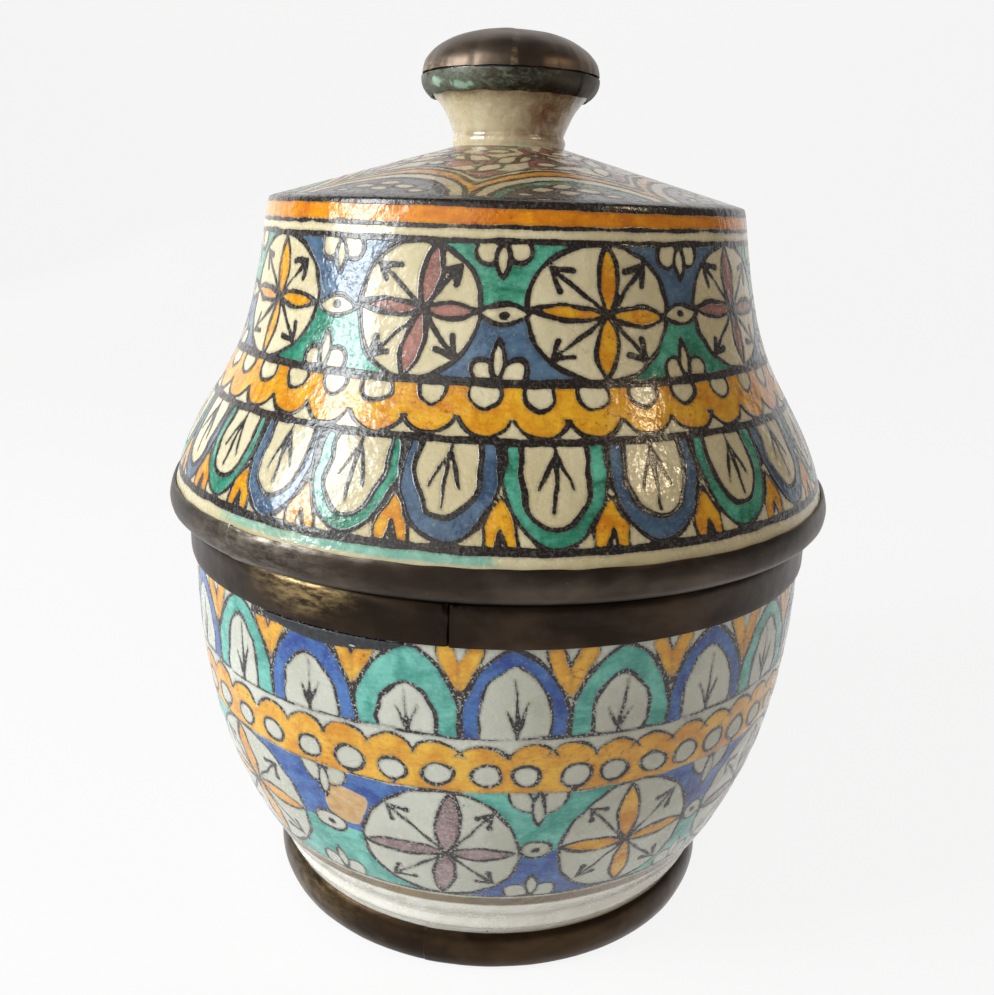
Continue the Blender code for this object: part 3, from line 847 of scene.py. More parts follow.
def paint_body(canvas):
    places = [azimuth + nudge for azimuth, nudge in zip(spaced(**BODY_MEDALLIONS), BODY_NUDGES)]
    top, bottom = BODY_MEDALLION_BAND
    half_width, half_height = BODY_MEDALLION_SIZE
    gaps = gaps_of(places)
    grounds = [(gap, math.radians(width) * BODY_GROUND_RADIUS) for gap, width in gaps]
    sizes = []
    for (_, before), (_, after) in zip(gaps[-1:] + gaps, gaps):
        sizes.append((half_width * (0.45 + 0.55 * (before + after) / 72.0), half_height))
    paint_medallion_row(canvas, places, sizes, grounds, BODY_MEDALLION_BAND, BODY_MEDALLION_PATH, BODY_HUBS,
                        BODY_LEANS, 1.0, True)
    for gap, width in gaps:
        paint_trefoil(canvas, gap + canvas.some(0.6), top, 11.4, 8.0, 6.4, False, 0.85, True)
        paint_trefoil(canvas, gap + canvas.some(0.6), bottom, 10.8, 7.6, 6.6, True, 0.75)
        paint_eye(canvas, gap, BODY_MEDALLION_PATH - 0.8, 0.16 * width - 1.0, 3.4, 1.0, False)
    patch, x, y = canvas.around(*CHIP_PLACE, 14, 12)
    patch.fill("bare", polygon(x, y, bowed(CHIP, 2)))
    canvas.stripe("ochre", *BODY_OCHRE)
    for azimuth in spaced(**BODY_SCALLOPS):
        paint_scallop(canvas, azimuth + canvas.some(0.4), 36.0, 7.7 + canvas.some(0.3), -3.5, True, 0.85)
    for number, azimuth in enumerate(spaced(**BODY_SCALLOPS)):
        drip = number % 5 in (2, 3)
        paint_dot(canvas, azimuth + canvas.some(0.5), 38.4, 4.0, 3.5, 1.05, False, drip)
    half_step = 180 / BODY_ARCHES["count"]
    half = math.radians(half_step) * BODY_ARCH_RADIUS
    places = spaced(**BODY_ARCHES)
    for azimuth in places:
        paint_wedge(canvas, azimuth + half_step, 0.0, 14.4 + canvas.some(0.7), 4.5)
    for number, azimuth in enumerate(places):
        lift = LEAF_LIFTS[number % len(LEAF_LIFTS)] + canvas.some(0.02)
        leaf_half = in_turn(number, 9.9, 8.5) + canvas.some(0.4)
        peak = 0.6 + canvas.some(0.4)
        jagged = in_turn(number, False, True)
        paint_arch(canvas, azimuth, peak, BODY_ARCH_BASE, half, in_turn(number), lift, leaf_half, jagged)
    canvas.stripe("umber", *BODY_STRIPE)
    # A white foot band, whiter than the glaze above and also painted lighter to stand in for the light and
    # gloss on the foot
    canvas.stripe("white_glaze_and_light", BODY_STRIPE[1] + 0.6, WHITE_GLAZE_AND_LIGHT_END)
    for level, width in BODY_LINES:
        canvas.ring(level, width)
    patch, x, y = canvas.around(*BEDDING_SHADE, 32, 6)
    patch.line(np.maximum(np.abs(x) - 23.0, y - 3.4))


# Materials. A colour is given as its red, green and blue of 0 to 255, as seen


def shade(red, green, blue):
    """A colour in the linear values that Blender's sockets take."""
    linear = []
    for value in (red, green, blue):
        value = value / 255
        linear.append(value / 12.92 if value <= 0.04045 else ((value + 0.055) / 1.055) ** 2.4)
    return (*linear, 1.0)


class Shading:
    """A material's nodes. Each method adds some and returns the socket of their result."""

    def __init__(self, name):
        self.material = bpy.data.materials.new(name)
        self.material.use_nodes = True
        self.tree = self.material.node_tree
        self.shader = self.tree.nodes["Principled BSDF"]
        self.place = self.node("TexCoord", "Object", {})

    def feed(self, socket, value):
        if isinstance(value, bpy.types.NodeSocket):
            self.tree.links.new(value, socket)
        else:
            socket.default_value = value

    def node(self, kind, result, inputs, **settings):
        node = self.tree.nodes.new("ShaderNode" + kind)
        for name, value in settings.items():
            setattr(node, name, value)
        for name, value in inputs.items():
            self.feed(node.inputs[name], value)
        return node.outputs[result]

    def attribute(self, name):
        return self.node("Attribute", "Fac", {}, attribute_name=name)

    def stretched(self, stretch):
        if not stretch:
            return self.place
        return self.node("VectorMath", 0, {0: self.place, 1: stretch}, operation="MULTIPLY")

    def noise(self, size, detail=2.0, rough=0.5, distortion=0.0, stretch=None):
        """Noise of 0 to 1 whose features are about this many millimetres."""
        inputs = {"Vector": self.stretched(stretch), "Scale": 1 / (size * MM), "Detail": detail}
        return self.node("TexNoise", "Fac", inputs | {"Roughness": rough, "Distortion": distortion})

    def cells(self, size, feature="F1", stretch=None):
        inputs = {"Vector": self.stretched(stretch), "Scale": 1 / (size * MM)}
        return self.node("TexVoronoi", "Distance", inputs, feature=feature)

    def math(self, operation, first, second, clamp=False):
        return self.node("Math", 0, {0: first, 1: second}, operation=operation, use_clamp=clamp)

    def times(self, first, second):
        return self.math("MULTIPLY", first, second)

    def span(self, value, low, high, to_low=0.0, to_high=1.0):
        """The value eased from to_low at low to to_high at high."""
        inputs = {"Value": value, "From Min": low, "From Max": high, "To Min": to_low, "To Max": to_high}
        return self.node("MapRange", "Result", inputs, interpolation_type="SMOOTHSTEP")

    def spots(self, size, low, high, detail=2.0, rough=0.5):
        """Soft spots of 1 on 0, where noise of this size rises from low to high."""
        return self.span(self.noise(size, detail, rough), low, high)

    def mix(self, share, first, second, blend="MIX"):
        first, second = (shade(*value) if isinstance(value, tuple) else value for value in (first, second))
        inputs = {0: share, 6: first, 7: second}
        return self.node("Mix", 2, inputs, data_type="RGBA", blend_type=blend)

    def over(self, color, mask, share, tint):
        """A tint over a colour inside a mask, at this share of its strength."""
        return self.mix(self.times(mask, share), color, tint)

    def total(self, *terms):
        """The sum of values, each times its weight."""
        result = 0.0
        for value, weight in terms:
            result = self.math("ADD", self.times(value, weight), result)
        return result

    def finished(self, color, rough, relief):
        """The material, with its colour, its roughness and its relief in millimetres."""
        self.feed(self.shader.inputs["Base Color"], color)
        self.feed(self.shader.inputs["Roughness"], rough)
        bump = self.node("Bump", "Normal", {"Distance": MM, "Strength": 1.0, "Height": relief})
        self.feed(self.shader.inputs["Normal"], bump)
        return self.material


JAR_LOOK = dict(
    cream=((209, 211, 199), (190, 191, 176)),
    ochre=((240, 188, 66), (210, 136, 22)),
    blue=((74, 122, 186), (28, 60, 138)),
    green=((120, 200, 186), (52, 146, 132)),
    mauve=((176, 148, 150), (120, 92, 98)),
    umber=((136, 108, 44), (98, 74, 26)),
    # The foot's white, lighter than its glaze to paint the light and gloss on it
    white_glaze_and_light=((248, 246, 238), (236, 232, 220)),
    bare=((220, 186, 138), (190, 150, 102)),
    ink=((40, 30, 34), (24, 18, 22)),
    pinholes=1.0,
    dimples=0.13,
    mottle=0.45,
    ior=1.5,
)
LID_LOOK = dict(
    cream=((231, 220, 184), (210, 196, 154)),
    ochre=((244, 186, 42), (214, 130, 8)),
    orange=((242, 156, 16), (210, 116, 4)),
    blue=((94, 124, 150), (54, 80, 110)),
    green=((96, 188, 160), (22, 116, 88)),
    mauve=((180, 122, 112), (136, 84, 80)),
    rose=((164, 84, 94), (112, 44, 58)),
    slate=((98, 108, 106), (58, 64, 64)),
    wash=((160, 204, 184), (118, 176, 156)),
    ink=((36, 24, 20), (18, 12, 10)),
    pinholes=0.12,
    dimples=0.20,
    mottle=0.22,
    ior=1.65,
)
RUSTY = ("ochre", "orange")
MILKY = ("blue", "green")
MOTTLED = ("mauve",)
SOFT = ("umber", "wash", "bare")

RUST = (140, 64, 20)
BUBBLE = (176, 174, 166)
SPECKLE = (96, 70, 44)
PIT = (58, 40, 30)
CRACK = (120, 88, 56)
STAIN_AND_SHADE = (134, 92, 68)


def glaze(name, look, pigments):
    """Painted tin glaze: soft-edged pigments that pool and streak, ink, pinholes and a dimpled gloss."""
    s = Shading(name)
    cream = look["cream"]
    broad = s.noise(38, 3)
    fray = s.total((s.noise(1.1, 3, 0.6), 0.50), (s.noise(4.5, 2), 0.35))
    fray = s.math("SUBTRACT", fray, 0.425)
    pool = s.noise(9, 3, 0.55, 0.8)
    brush = s.noise(2.6, 4, 0.62, 0.3, (1.0, 1.0, 2.4))
    thickness = s.span(s.total((pool, 1.0), (brush, 0.45), (broad, 0.3)), 0.62, 1.12)
    color = s.mix(s.span(broad, 0.32, 0.70), *cream)
    color = s.mix(s.times(s.spots(7, 0.50, 0.78, 4, 0.6), 0.30), color, cream[1], "MULTIPLY")
    masks = {}
    for pigment in pigments:
        soft = 0.45 if pigment in SOFT else 0.16
        masks[pigment] = s.span(s.math("ADD", s.attribute(pigment), fray), -soft, soft, 1.0, 0.0)
        tone = s.mix(thickness, *look[pigment])
        if pigment in RUSTY:
            rust = s.span(s.noise(1.9, 4, 0.7, 0.5, (1.0, 1.0, 1.6)), 0.55, 0.67)
            tone = s.over(tone, s.times(rust, s.spots(13, 0.42, 0.62)), 0.75, RUST)
        if pigment in MILKY:
            tone = s.over(tone, s.spots(1.3, 0.56, 0.76, 4, 0.6), 0.20, cream[0])
        if pigment in MOTTLED:
            tone = s.over(tone, s.spots(0.9, 0.48, 0.62, 3, 0.6), look["mottle"], cream[1])
        color = s.mix(masks[pigment], color, tone)
    from_ink = s.attribute("ink")
    halo = s.span(s.math("ADD", from_ink, s.times(fray, 2.2)), 0.0, 0.8, 0.30, 0.0)
    color = s.mix(halo, color, look["ink"][0])
    ink = s.span(s.math("ADD", from_ink, s.times(fray, 0.8)), -0.12, 0.12, 1.0, 0.0)
    worn_ink = s.span(s.noise(2.0, 3, 0.6), 0.60, 0.82, 1.0, 0.70)
    color = s.over(color, ink, worn_ink, s.mix(broad, *look["ink"]))
    bubbles = s.times(s.spots(0.75, 0.53, 0.62, 3, 0.62), s.span(from_ink, 0.0, 0.30, 1.0, 0.0))
    bubbles = s.times(bubbles, s.span(s.noise(7, 3), 0.30, 0.55, 0.15, 1.0))
    bubbles = s.times(bubbles, look["pinholes"])
    color = s.mix(bubbles, color, BUBBLE)
    color = s.over(color, s.spots(0.8, 0.62, 0.76), 0.22, SPECKLE)
    pits = s.times(s.span(s.cells(8.0), 0.022, 0.040, 1.0, 0.0), s.spots(30, 0.45, 0.55, 1))
    color = s.over(color, pits, 0.8, PIT)
    crackle = s.span(s.cells(6.0, "DISTANCE_TO_EDGE"), 0.0, 0.020, 1.0, 0.0)
    color = s.over(color, s.times(crackle, s.spots(16, 0.52, 0.66)), 0.25, CRACK)
    # Brown stain, which on the knob's neck also paints its shade on the right side
    stain_and_shade = s.span(s.noise(4, 4, 0.6, 0.6), 0.30, 0.62, 0.35, 1.0)
    color = s.over(color, s.attribute("stain_and_shade"), stain_and_shade, STAIN_AND_SHADE)
    s.shader.inputs["IOR"].default_value = look["ior"]
    dull = s.times(s.spots(1.1, 0.50, 0.60, 3, 0.65), s.spots(12, 0.34, 0.56, 3))
    rough = s.total((s.noise(2.5, 4, 0.6), 0.16), (dull, 0.24), (ink, 0.08), (s.attribute("dry"), 0.55))
    painted = 0.0
    for pigment in pigments[:3]:
        painted = s.math("MAXIMUM", masks[pigment], painted)
    relief = s.total(
        (s.noise(7.0, 2), 0.34),
        (s.noise(2.4, 2), look["dimples"]),
        (s.noise(0.8, 2), look["dimples"] * 0.20),
        (ink, 0.07),
        (painted, 0.035),
        (bubbles, -0.08),
        (pits, -0.12),
        (brush, 0.04),
    )
    return s.finished(color, s.math("ADD", rough, 0.05), relief)


def patina(name, dark, lit, brass, green=0.0, gloss=0.34):
    """Old copper alloy sheet: dark patina, greyer rubbed patches, brassy scratches that also paint sheen
    where a piece asks for it, and some verdigris.
    """
    s = Shading(name)
    broad = s.noise(30, 3, 0.55, 0.3, (1.0, 1.0, 2.2))
    cloud = s.noise(9, 5, 0.62, 0.4, (1.0, 1.0, 1.7))
    fine = s.noise(0.9, 4, 0.7)
    brushed = s.noise(1.6, 4, 0.7, 0.0, (0.30, 0.30, 1.0))
    wear_and_sheen = s.math("ADD", s.attribute("wear_and_sheen"), s.times(s.math("SUBTRACT", cloud, 0.5), 0.30))
    color = s.mix(s.span(s.total((cloud, 0.28), (broad, 0.90)), 0.44, 0.84), dark, lit)
    flecks = s.total((brushed, 0.85), (cloud, 0.06), (fine, 0.16))
    # Brass where the sheet is worn, and where its pieces paint sheen or a highlight on it
    bright = s.times(s.span(wear_and_sheen, 0.35, 1.10), s.span(flecks, 0.38, 0.74))
    color = s.mix(bright, color, brass)
    specks = s.times(s.span(s.cells(2.6), 0.08, 0.14, 1.0, 0.0), s.spots(6, 0.52, 0.62))
    color = s.over(color, specks, 0.5, lit)
    metallic = 0.92
    if green:
        streaks = s.noise(3.2, 5, 0.72, 0.5, (1.0, 1.0, 2.0))
        crust = s.span(s.total((streaks, 1.0), (s.attribute("crust"), 0.35)), 0.40, 0.66)
        crust = s.times(crust, green)
        color = s.mix(crust, color, s.mix(s.span(fine, 0.35, 0.65), (74, 84, 70), (112, 120, 102)))
        mint = s.span(s.total((s.noise(2.2, 5, 0.72), 0.9), (s.attribute("crust"), 0.6)), 0.84, 1.06)
        color = s.mix(mint, color, s.mix(s.noise(3, 3), (136, 186, 158), (176, 190, 170)))
        bare = s.math("SUBTRACT", 1.0, s.math("MAXIMUM", crust, mint), True)
        metallic = s.times(bare, metallic)
    s.feed(s.shader.inputs["Metallic"], metallic)
    rough = s.total((cloud, 0.18), (fine, 0.08), (bright, -0.08))
    relief = s.total((s.noise(9, 2), 0.24), (fine, 0.018), (brushed, 0.028), (cloud, 0.05), (specks, 0.03))
    return s.finished(color, s.math("ADD", rough, gloss - 0.14), relief)


def pitch():
    """Dull black filler with a few pale crumbs."""
    s = Shading("black_pitch")
    lumps = s.noise(2.2, 4, 0.6)
    color = s.mix(s.span(lumps, 0.35, 0.7), (20, 21, 24), (46, 48, 53))
    crumbs = s.span(s.cells(2.4, stretch=(0.5, 0.5, 1.6)), 0.16, 0.26, 1.0, 0.0)
    color = s.over(color, crumbs, s.spots(5, 0.54, 0.62), (196, 198, 194))
    relief = s.total((lumps, 0.45), (s.noise(0.9, 3), 0.08))
    return s.finished(color, s.span(lumps, 0.3, 0.7, 0.34, 0.62), relief)


def paper():
    """The studio's pale floor and backdrop. Camera and mirror rays see it paler than the lamps make it."""
    s = Shading("studio_paper")
    s.feed(s.shader.inputs["Base Color"], s.mix(s.noise(240, 3), (246, 246, 245), (242, 242, 241)))
    s.shader.inputs["Roughness"].default_value = 0.9
    rays = s.tree.nodes.new("ShaderNodeLightPath").outputs
    seen = s.math("MAXIMUM", rays["Is Glossy Ray"], rays["Is Transmission Ray"])
    seen = s.math("MAXIMUM", rays["Is Camera Ray"], seen)
    white = s.node("Emission", 0, {"Color": (1.0, 1.0, 1.0, 1.0)})
    both = s.node("MixShader", 0, {0: s.times(seen, 0.88), 1: s.shader.outputs[0], 2: white})
    s.feed(s.tree.nodes["Material Output"].inputs["Surface"], both)
    return s.material


# Pieces of clay


def stand_in(piece, body, node):
    """Puts a piece in the place of its CAD node."""
    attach(piece, body)
    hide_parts(node)


def corner_after(outline, start):
    return next(index for index in corners_of(outline, ROUNDED_TURN) if index > start)


def level_index(outline, height, low, high):
    """The point among some whose height is nearest to a height."""
    return low + int(np.abs(outline[low:high, 1] - height).argmin())


def unevenness(shell, seed, radius, wide, fine, fine_amount):
    """How far the clay is off its true round, in millimetres."""
    surface = (shell.azimuth, shell.path, radius)
    return ripple(seed, *surface, wide) * 0.30 + ripple(seed + 1, *surface, fine) * fine_amount


def add_jar_shell():
    outline = outline_of("jar_body")
    widest, rim = (int(column.argmax()) for column in outline.T)
    neck = level_index(outline, heights_of("neck_collar")[0], rim, len(outline))
    spring = corner_after(outline, max(neck, widest))
    plain = even_azimuths(PLAIN_JAR_COLUMNS)
    zones = [
        (resampled(eased(outline[: neck + 1], 1.0), HIDDEN_ROW)[:-1], plain),
        (resampled(outline[neck : spring + 1], PAINTED_ROW), even_azimuths(PAINTED_JAR_COLUMNS)),
        (resampled(eased(outline[spring:], 0.8), FOOT_ROW)[1:], plain),
    ]
    shell = Turned(zones)
    painted = shell.zone == 1
    start = float(shell.path[painted].min())
    length = float(shell.path[painted].max()) - start
    share = np.clip((shell.path - start) / length, 0, 1)
    free = np.where(painted, np.sin(np.pi * np.clip(share * 1.06, 0, 1)) ** 0.6, 0.0)
    throwing = 0.07 * np.sin(shell.path * TURN / 9.5 + shell.azimuth)
    shell.radius += free * (unevenness(shell, 11, 96, 70, 22, 0.10) + throwing - 0.32)
    canvas = Canvas(shell, start, 100, JAR_PIGMENTS)
    paint_body(canvas)
    for layer in canvas.layers.values():
        layer[~painted] = FAR
    foot = shell.zone == 2
    # The foot below the painted zone is white too, partly as painted light
    canvas.layers["white_glaze_and_light"][foot] = -FAR
    canvas.layers["bare"][foot & (shell.height < heights_of("foot_ring")[1] * 0.8)] = -FAR
    dry = np.clip(0.5 - canvas.layers["bare"], 0, 1)
    attributes = dict(canvas.layers, stain_and_shade=np.zeros_like(dry), dry=dry)
    made = shell.make("jar_shell", glaze("jar_glaze_paint", JAR_LOOK, JAR_PIGMENTS), attributes)
    stand_in(made, "jar", "jar_body")


def knob_stain_and_shade(shell, base, strip_low):
    """Brown on the knob's neck: a patch to its right, darker under the strip, and painted shade on its right
    side.
    """
    neck = shell.zone == 1
    level = np.where(neck, (shell.height - base) / (strip_low - base), 0)
    stain_and_shade = 0.75 * np.exp(-(((shell.degrees() - 34) / 20) ** 2) - ((level - 0.62) / 0.36) ** 2)
    stain_and_shade += 0.35 * hump(level, 1.0, 0.10)
    # An even tone all round, and painted shade that darkens the neck towards its right side
    stain_and_shade += 0.18 + 0.30 * np.clip(np.sin(shell.azimuth), 0, 1)
    stain_and_shade += 0.45 * hump(level, 0.22, 0.07)
    return stain_and_shade * neck


def add_lid_shell():
    outline = outline_of("lid_body")
    strip_low = heights_of("knob_band")[0]
    half = len(outline) // 2
    throat = level_index(outline, strip_low, 0, half)
    waist = throat + int(outline[throat:half, 0].argmin())
    base = corner_after(outline, waist + 1)
    widest = int(outline[:, 0].argmax())
    rim_line = level_index(outline, heights_of("lid_edge_band")[1], base, widest + 1)
    cone_end = base + int(np.argmax(outline[base:rim_line, 0] > 70))
    cone = resampled(outline[base : cone_end + 1], PAINTED_ROW)
    inner_rows = len(cone) // 2
    flank = resampled(outline[cone_end : rim_line + 1], PAINTED_ROW)
    plain = even_azimuths(PLAIN_LID_COLUMNS)
    zones = [
        (resampled(eased(outline[: throat + 1], 1.0), KNOB_CORE_ROW)[:-1], plain),
        (resampled(outline[throat : base + 1], NECK_ROW), plain),
        (cone[1:inner_rows], even_azimuths(CONE_COLUMNS)),
        (np.vstack([cone[inner_rows:], flank[1:]]), even_azimuths(PAINTED_LID_COLUMNS)),
        (resampled(eased(outline[rim_line:], 1.0), HIDDEN_ROW)[1:], plain),
    ]
    shell = Turned(zones)
    painted = (shell.zone == 2) | (shell.zone == 3)
    shoulder = float(shell.path[(shell.zone == 3) & (shell.height > outline[cone_end, 1] - 1.5)].max())
    end = float(shell.path[painted].max())
    share = np.clip((shell.path - shoulder) / (end - shoulder), 0, 1)
    free = np.where(painted, np.sin(np.pi * share) ** 0.6, 0.0)
    shell.radius += free * (unevenness(shell, 21, 88, 60, 18, 0.09) - 0.30)
    canvas = Canvas(shell, shoulder, 200, LID_PIGMENTS)
    paint_cone(canvas)
    paint_lid_flank(canvas)
    for layer in canvas.layers.values():
        layer[~painted] = FAR
    canvas.layers["ink"][shell.zone == 0] = -FAR
    # The knob's neck gets brown stain and painted shade, the cone a warmer tone
    stain_and_shade = knob_stain_and_shade(shell, outline[base, 1], strip_low)
    stain_and_shade += 0.26 * ((shell.zone == 2) | ((shell.zone == 3) & (shell.path < shoulder - 3)))
    attributes = dict(canvas.layers, stain_and_shade=stain_and_shade, dry=np.zeros_like(stain_and_shade))
    made = shell.make("lid_shell", glaze("lid_glaze_paint", LID_LOOK, LID_PIGMENTS), attributes)
    stand_in(made, "lid", "lid_body")


# Pieces of sheet metal


def lap(azimuth, radius, seam, step, length, groove=0.45):
    """How far a lapped sheet stands proud at its seam, and the distance along the sheet from the seam."""
    along = wrapped(azimuth - math.radians(seam)) * radius
    over = np.clip(along / 0.12, 0, 1) * np.clip(1 - along / length, 0, 1) ** 0.7
    under = groove * (0.67 * np.exp(np.minimum(along, 0) / 5.0) * (along < 0) + hump(along, 0, 0.3))
    return step * over - under, along


def add_sheet(name, node, body, material, seam, step, groove, dents, shape):
    """A sheet metal ring in place of its CAD node, with dents, a lapped seam, and worn patches with painted
    sheen.
    """
    rows = loop_rows(node, 0.25, SHEET_ROW)
    radius = float(rows[:, 0].max())
    sheet = Turned([(rows, azimuths_with_seam(SHEET_COLUMNS, seam, radius))], closed=True)
    proud, along = lap(sheet.azimuth, radius, seam, step, 9.0, groove)
    low, high = heights_of(node)
    outer = sheet.radius > radius - 3.5
    bend = dents(sheet) + proud
    wear_and_sheen = shape(sheet, (sheet.height - low) / (high - low), along)
    sheet.radius = np.where(outer, sheet.radius + bend, sheet.radius)
    sheet.radius = np.minimum(sheet.radius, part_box(node)[1].x / MM)
    sheet.height = np.clip(sheet.height, low, high)
    made = sheet.make(name, material, {"wear_and_sheen": wear_and_sheen, "crust": np.zeros_like(wear_and_sheen)})
    stand_in(made, body, node)


def hammered(seed, amount, fine):
    """Dents that push a sheet in by up to some tenths of a millimetre."""

    def dents(sheet):
        broad = ripple(seed, sheet.azimuth, sheet.height, 100, 26) - 1
        small = ripple(seed + 1, sheet.azimuth, sheet.height, 100, 7)
        return np.clip(broad * amount / 2 + small * fine, -0.25, 0.05)

    return dents


def collar_wear_and_sheen(sheet, share, along):
    """Brassy scratches and painted sheen at the front left, a crumpled lap beside the seam, and lighter metal
    along it.
    """
    rubbed_and_sheen = hump(sheet.degrees(), -31, 11) * np.clip(0.30 + share, 0, 1)
    creases = ripple(33, sheet.azimuth, sheet.height, 100, 3.2) * hump(along, 1.5, 3.2)
    sheet.radius += (creases - 0.5 * np.abs(creases)) * 0.34 * (sheet.radius > 98)
    return 0.08 + rubbed_and_sheen * 1.05 + 0.35 * hump(along, 1.8, 1.8)


def rim_wear_and_sheen(sheet, share, along):
    """A top edge that is a little wavy, with a painted highlight along it and a painted reflection at the
    front left.
    """
    top = np.clip((share - 0.82) / 0.18, 0, 1)
    sheet.height += top * ripple(41, sheet.azimuth, 0 * sheet.height, 106, 16) * 0.22 - top * 0.22
    return 0.10 + 0.30 * top + 0.65 * hump(sheet.degrees(), -40, 24)


def ring_wear_and_sheen(sheet, share, along):
    # Some wear all round, and painted sheen at the left
    return 0.12 + 0.60 * hump(sheet.degrees(), -52, 28)


KNOB_RADIUS = 27
CAP_BEND = 14.0


def add_knob_cap(material):
    """The domed cap, gathered in small radial folds towards its edge."""
    rows = resampled(eased(outline_of("knob_cap"), 0.25), SHEET_ROW)
    cap = Turned([(rows, even_azimuths(KNOB_COLUMNS))])
    crown = float(cap.height.max())
    edge = float(cap.height.min())
    lowness = np.clip((crown - cap.height) / (crown - edge), 0, 1)
    flat = 0 * cap.height
    folds = ripple(51, cap.azimuth, flat, KNOB_RADIUS, 8)
    folds = folds + 0.6 * ripple(52, cap.azimuth, flat, KNOB_RADIUS, 3.6)
    across = wrapped(cap.azimuth - math.radians(4)) * cap.radius
    crease = np.exp(-np.clip(across, 0, None) / 7.0) / (1 + np.exp(-across / 0.45))
    sink = lowness**1.8 * (0.14 * folds - 0.14) - 0.80 * crease * np.sin(np.pi * lowness**0.8)
    dents = ripple(53, cap.azimuth, cap.radius, 18, 11) * 0.11 - 0.12
    sink = np.clip(sink + dents * np.clip(cap.radius / 12.0, 0, 1), -1.0, 0.0)
    fall = np.hypot(cap.radius, CAP_BEND)
    cap.radius += sink * cap.radius / fall * 0.9
    cap.height = np.clip(cap.height + sink * CAP_BEND / fall * 0.9, edge, crown)
    # Lighter at its rim, with painted sheen low on the left and a painted highlight along the fold's edge
    wear_and_sheen = 0.05 + 0.9 * lowness**3 * hump(cap.degrees(), -66, 22) + 0.25 * lowness**6
    wear_and_sheen += 1.4 * lowness * hump(across, -1.0, 1.1)
    made = cap.make("knob_cap_sheet", material, {"wear_and_sheen": wear_and_sheen, "crust": np.zeros_like(wear_and_sheen)})
    stand_in(made, "lid", "knob_cap")


# Crust: azimuth and width in degrees, level and depth as shares of the strip's height, and strength
CRUST = ((-55, 9, 0.5, 0.35, 1.0), (-36, 8, 0.3, 0.28, 0.85), (-26, 7, 0.22, 0.22, 0.7),
         (-25, 50, 0.6, 0.7, 0.18), (150, 20, 0.4, 0.4, 0.7), (48, 38, 0.5, 0.9, -0.45))


def add_knob_strip(material):
    """The green corroded strip under the cap, uneven at its lower edge."""
    azimuths = azimuths_with_seam(KNOB_COLUMNS, KNOB_BAND_SEAM, KNOB_RADIUS, 5.0, 40)
    strip = Turned([(loop_rows("knob_band", 0.2, STRIP_ROW), azimuths)], closed=True)
    low, high = heights_of("knob_band")
    share = (strip.height - low) / (high - low)
    limit = float(strip.radius.max())
    proud, _ = lap(strip.azimuth, KNOB_RADIUS, KNOB_BAND_SEAM, 0.35, 6.0)
    bend = ripple(55, strip.azimuth, strip.height, KNOB_RADIUS, 7) * 0.08 - 0.10
    strip.radius = np.minimum(strip.radius + bend + proud * 0.6, limit)
    strip.height += (1 - share) ** 2 * (ripple(56, strip.azimuth, 0 * share, KNOB_RADIUS, 10) * 0.30 + 0.1)
    strip.height = np.clip(strip.height, low, high)
    crust = np.zeros_like(share)
    for azimuth, width, level, depth, strength in CRUST:
        away = wrapped(strip.azimuth - math.radians(azimuth)) / math.radians(width)
        crust += strength * np.exp(-(away**2) - ((share - level) / depth) ** 2)
    made = strip.make("knob_strip", material, {"wear_and_sheen": np.full_like(share, 0.2), "crust": crust})
    stand_in(made, "lid", "knob_band")


def add_bedding():
    """The squeezed-out filler, as a lumpy strip inside its CAD solid."""
    made = linked("bedding_strip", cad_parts["collar_bedding"].data.copy())
    made.data.name = "bedding_strip"
    made.data.materials.clear()
    made.data.materials.append(pitch())
    made.modifiers.new("weld", "WELD").merge_threshold = 0.00001
    rounding = made.modifiers.new("subsurf", "SUBSURF")
    rounding.levels = 2
    rounding.render_levels = 2
    stand_in(made, "jar", "collar_bedding")


def add_metal():
    dark = patina("dark_bronze_sheet", (38, 29, 22), (68, 55, 44), (164, 140, 96), gloss=0.38)
    # Its brass is grey, the colour of the painted reflection on the band
    grey = patina("lid_edge_bronze", (52, 43, 37), (90, 79, 70), (146, 138, 126), gloss=0.40)
    brassy = patina("brassy_bronze_sheet", (40, 29, 20), (72, 56, 38), (156, 132, 92), gloss=0.32)
    cap = patina("knob_cap_bronze", (84, 71, 61), (126, 110, 96), (184, 164, 126), gloss=0.42)
    corroded = patina("verdigris_sheet", (56, 50, 42), (92, 86, 72), (150, 130, 80), 0.85, 0.5)
    add_sheet("collar_sheet", "neck_collar", "jar", dark, COLLAR_SEAM, 0.42, 0.45,
              hammered(31, 0.16, 0.03), collar_wear_and_sheen)
    add_sheet("lid_edge_sheet", "lid_edge_band", "lid", grey, LID_BAND_SEAM, 0.36, 0.22,
              hammered(35, 0.18, 0.03), rim_wear_and_sheen)
    add_sheet("foot_sheet", "foot_ring", "jar", brassy, FOOT_RING_SEAM, 0.14, 0.05,
              hammered(38, 0.14, 0.02), ring_wear_and_sheen)
    add_knob_cap(cap)
    add_knob_strip(corroded)
    add_bedding()


# Studio

FLOOR_FRONT = -3.0
FLOOR_BACK = 1.6
FLOOR_HALF_WIDTH = 4.0
BACKDROP_BEND = 0.8
BACKDROP_HEIGHT = 4.0
BEND_STEPS = 16


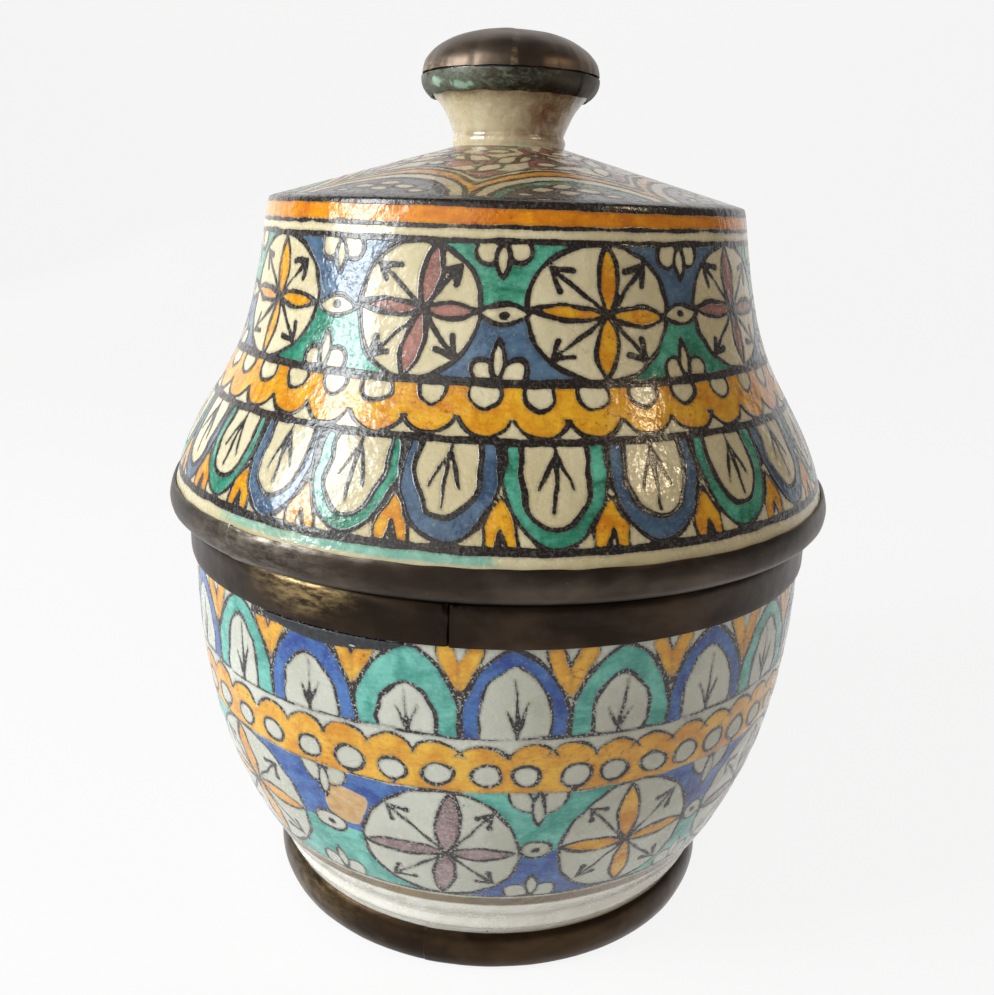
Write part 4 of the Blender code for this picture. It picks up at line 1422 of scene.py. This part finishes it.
def add_studio():
    """A pale floor that curves up behind the jar."""
    outline = [(FLOOR_FRONT, 0.0)]
    for step in range(BEND_STEPS + 1):
        angle = math.pi / 2 * step / BEND_STEPS
        outline.append((FLOOR_BACK + BACKDROP_BEND * math.sin(angle), BACKDROP_BEND * (1 - math.cos(angle))))
    outline.append((FLOOR_BACK + BACKDROP_BEND, BACKDROP_HEIGHT))
    points = [(side * FLOOR_HALF_WIDTH, y, z) for y, z in outline for side in (-1, 1)]
    faces = [(2 * i, 2 * i + 1, 2 * i + 3, 2 * i + 2) for i in range(len(outline) - 1)]
    mesh = bpy.data.meshes.new("studio_paper")
    mesh.from_pydata(points, [], faces)
    mesh.shade_smooth()
    mesh.materials.append(paper())
    linked("studio_paper", mesh)


# Each lamp's place, size, power and colour. All face the middle of the jar
LAMPS = {
    "window": ((-0.83, -0.36, 0.58), (0.40, 0.52), 8.6, (0.92, 0.97, 1.0)),
    "fill": ((-1.25, -1.5, 0.95), (2.4, 1.7), 11.5, (1.0, 0.97, 0.92)),
    "back": ((-1.3, 1.4, 0.75), (1.6, 1.2), 3.6, (1.0, 0.97, 0.93)),
    "lamp": ((0.72, -0.40, 0.72), (0.10, 0.10), 0.9, (1.0, 0.78, 0.52)),
}
LAMP_TARGET = Vector((0.0, 0.0, 0.17))
WORLD_COLOR = (0.95, 0.90, 0.84, 1.0)
WORLD_STRENGTH = 0.17


def add_lights():
    for name, (place, size, power, color) in LAMPS.items():
        data = bpy.data.lights.new(name, "AREA")
        data.shape = "RECTANGLE"
        data.size, data.size_y = size
        data.energy = power
        data.color = color
        light = linked(name, data)
        light.location = place
        light.rotation_euler = (LAMP_TARGET - Vector(place)).to_track_quat("-Z", "Y").to_euler()
    world = bpy.data.worlds.new("studio")
    world.use_nodes = True
    background = world.node_tree.nodes["Background"]
    background.inputs["Color"].default_value = WORLD_COLOR
    background.inputs["Strength"].default_value = WORLD_STRENGTH
    bpy.context.scene.world = world


def add_camera():
    data = bpy.data.cameras.new("camera")
    data.sensor_fit = "HORIZONTAL"
    data.sensor_width = SENSOR
    data.lens = FOCAL_PIXELS / PHOTO_WIDTH * SENSOR
    data.shift_x = (PHOTO_WIDTH / 2 - CENTRE_PIXEL[0]) / PHOTO_WIDTH
    data.shift_y = (CENTRE_PIXEL[1] - PHOTO_HEIGHT / 2) / PHOTO_WIDTH
    data.clip_start = 0.01
    camera = linked("camera", data)
    tilt = Matrix.Rotation(math.pi / 2 - CAMERA_PITCH, 4, "X")
    roll = Matrix.Rotation(CAMERA_ROLL, 4, "Z")
    camera.matrix_world = Matrix.Translation(CAMERA_PLACE) @ tilt @ roll
    bpy.context.scene.camera = camera


def main():
    add_jar_shell()
    add_lid_shell()
    add_metal()
    add_studio()
    add_lights()
    add_camera()
    bpy.context.scene.view_settings.view_transform = "Standard"


main()
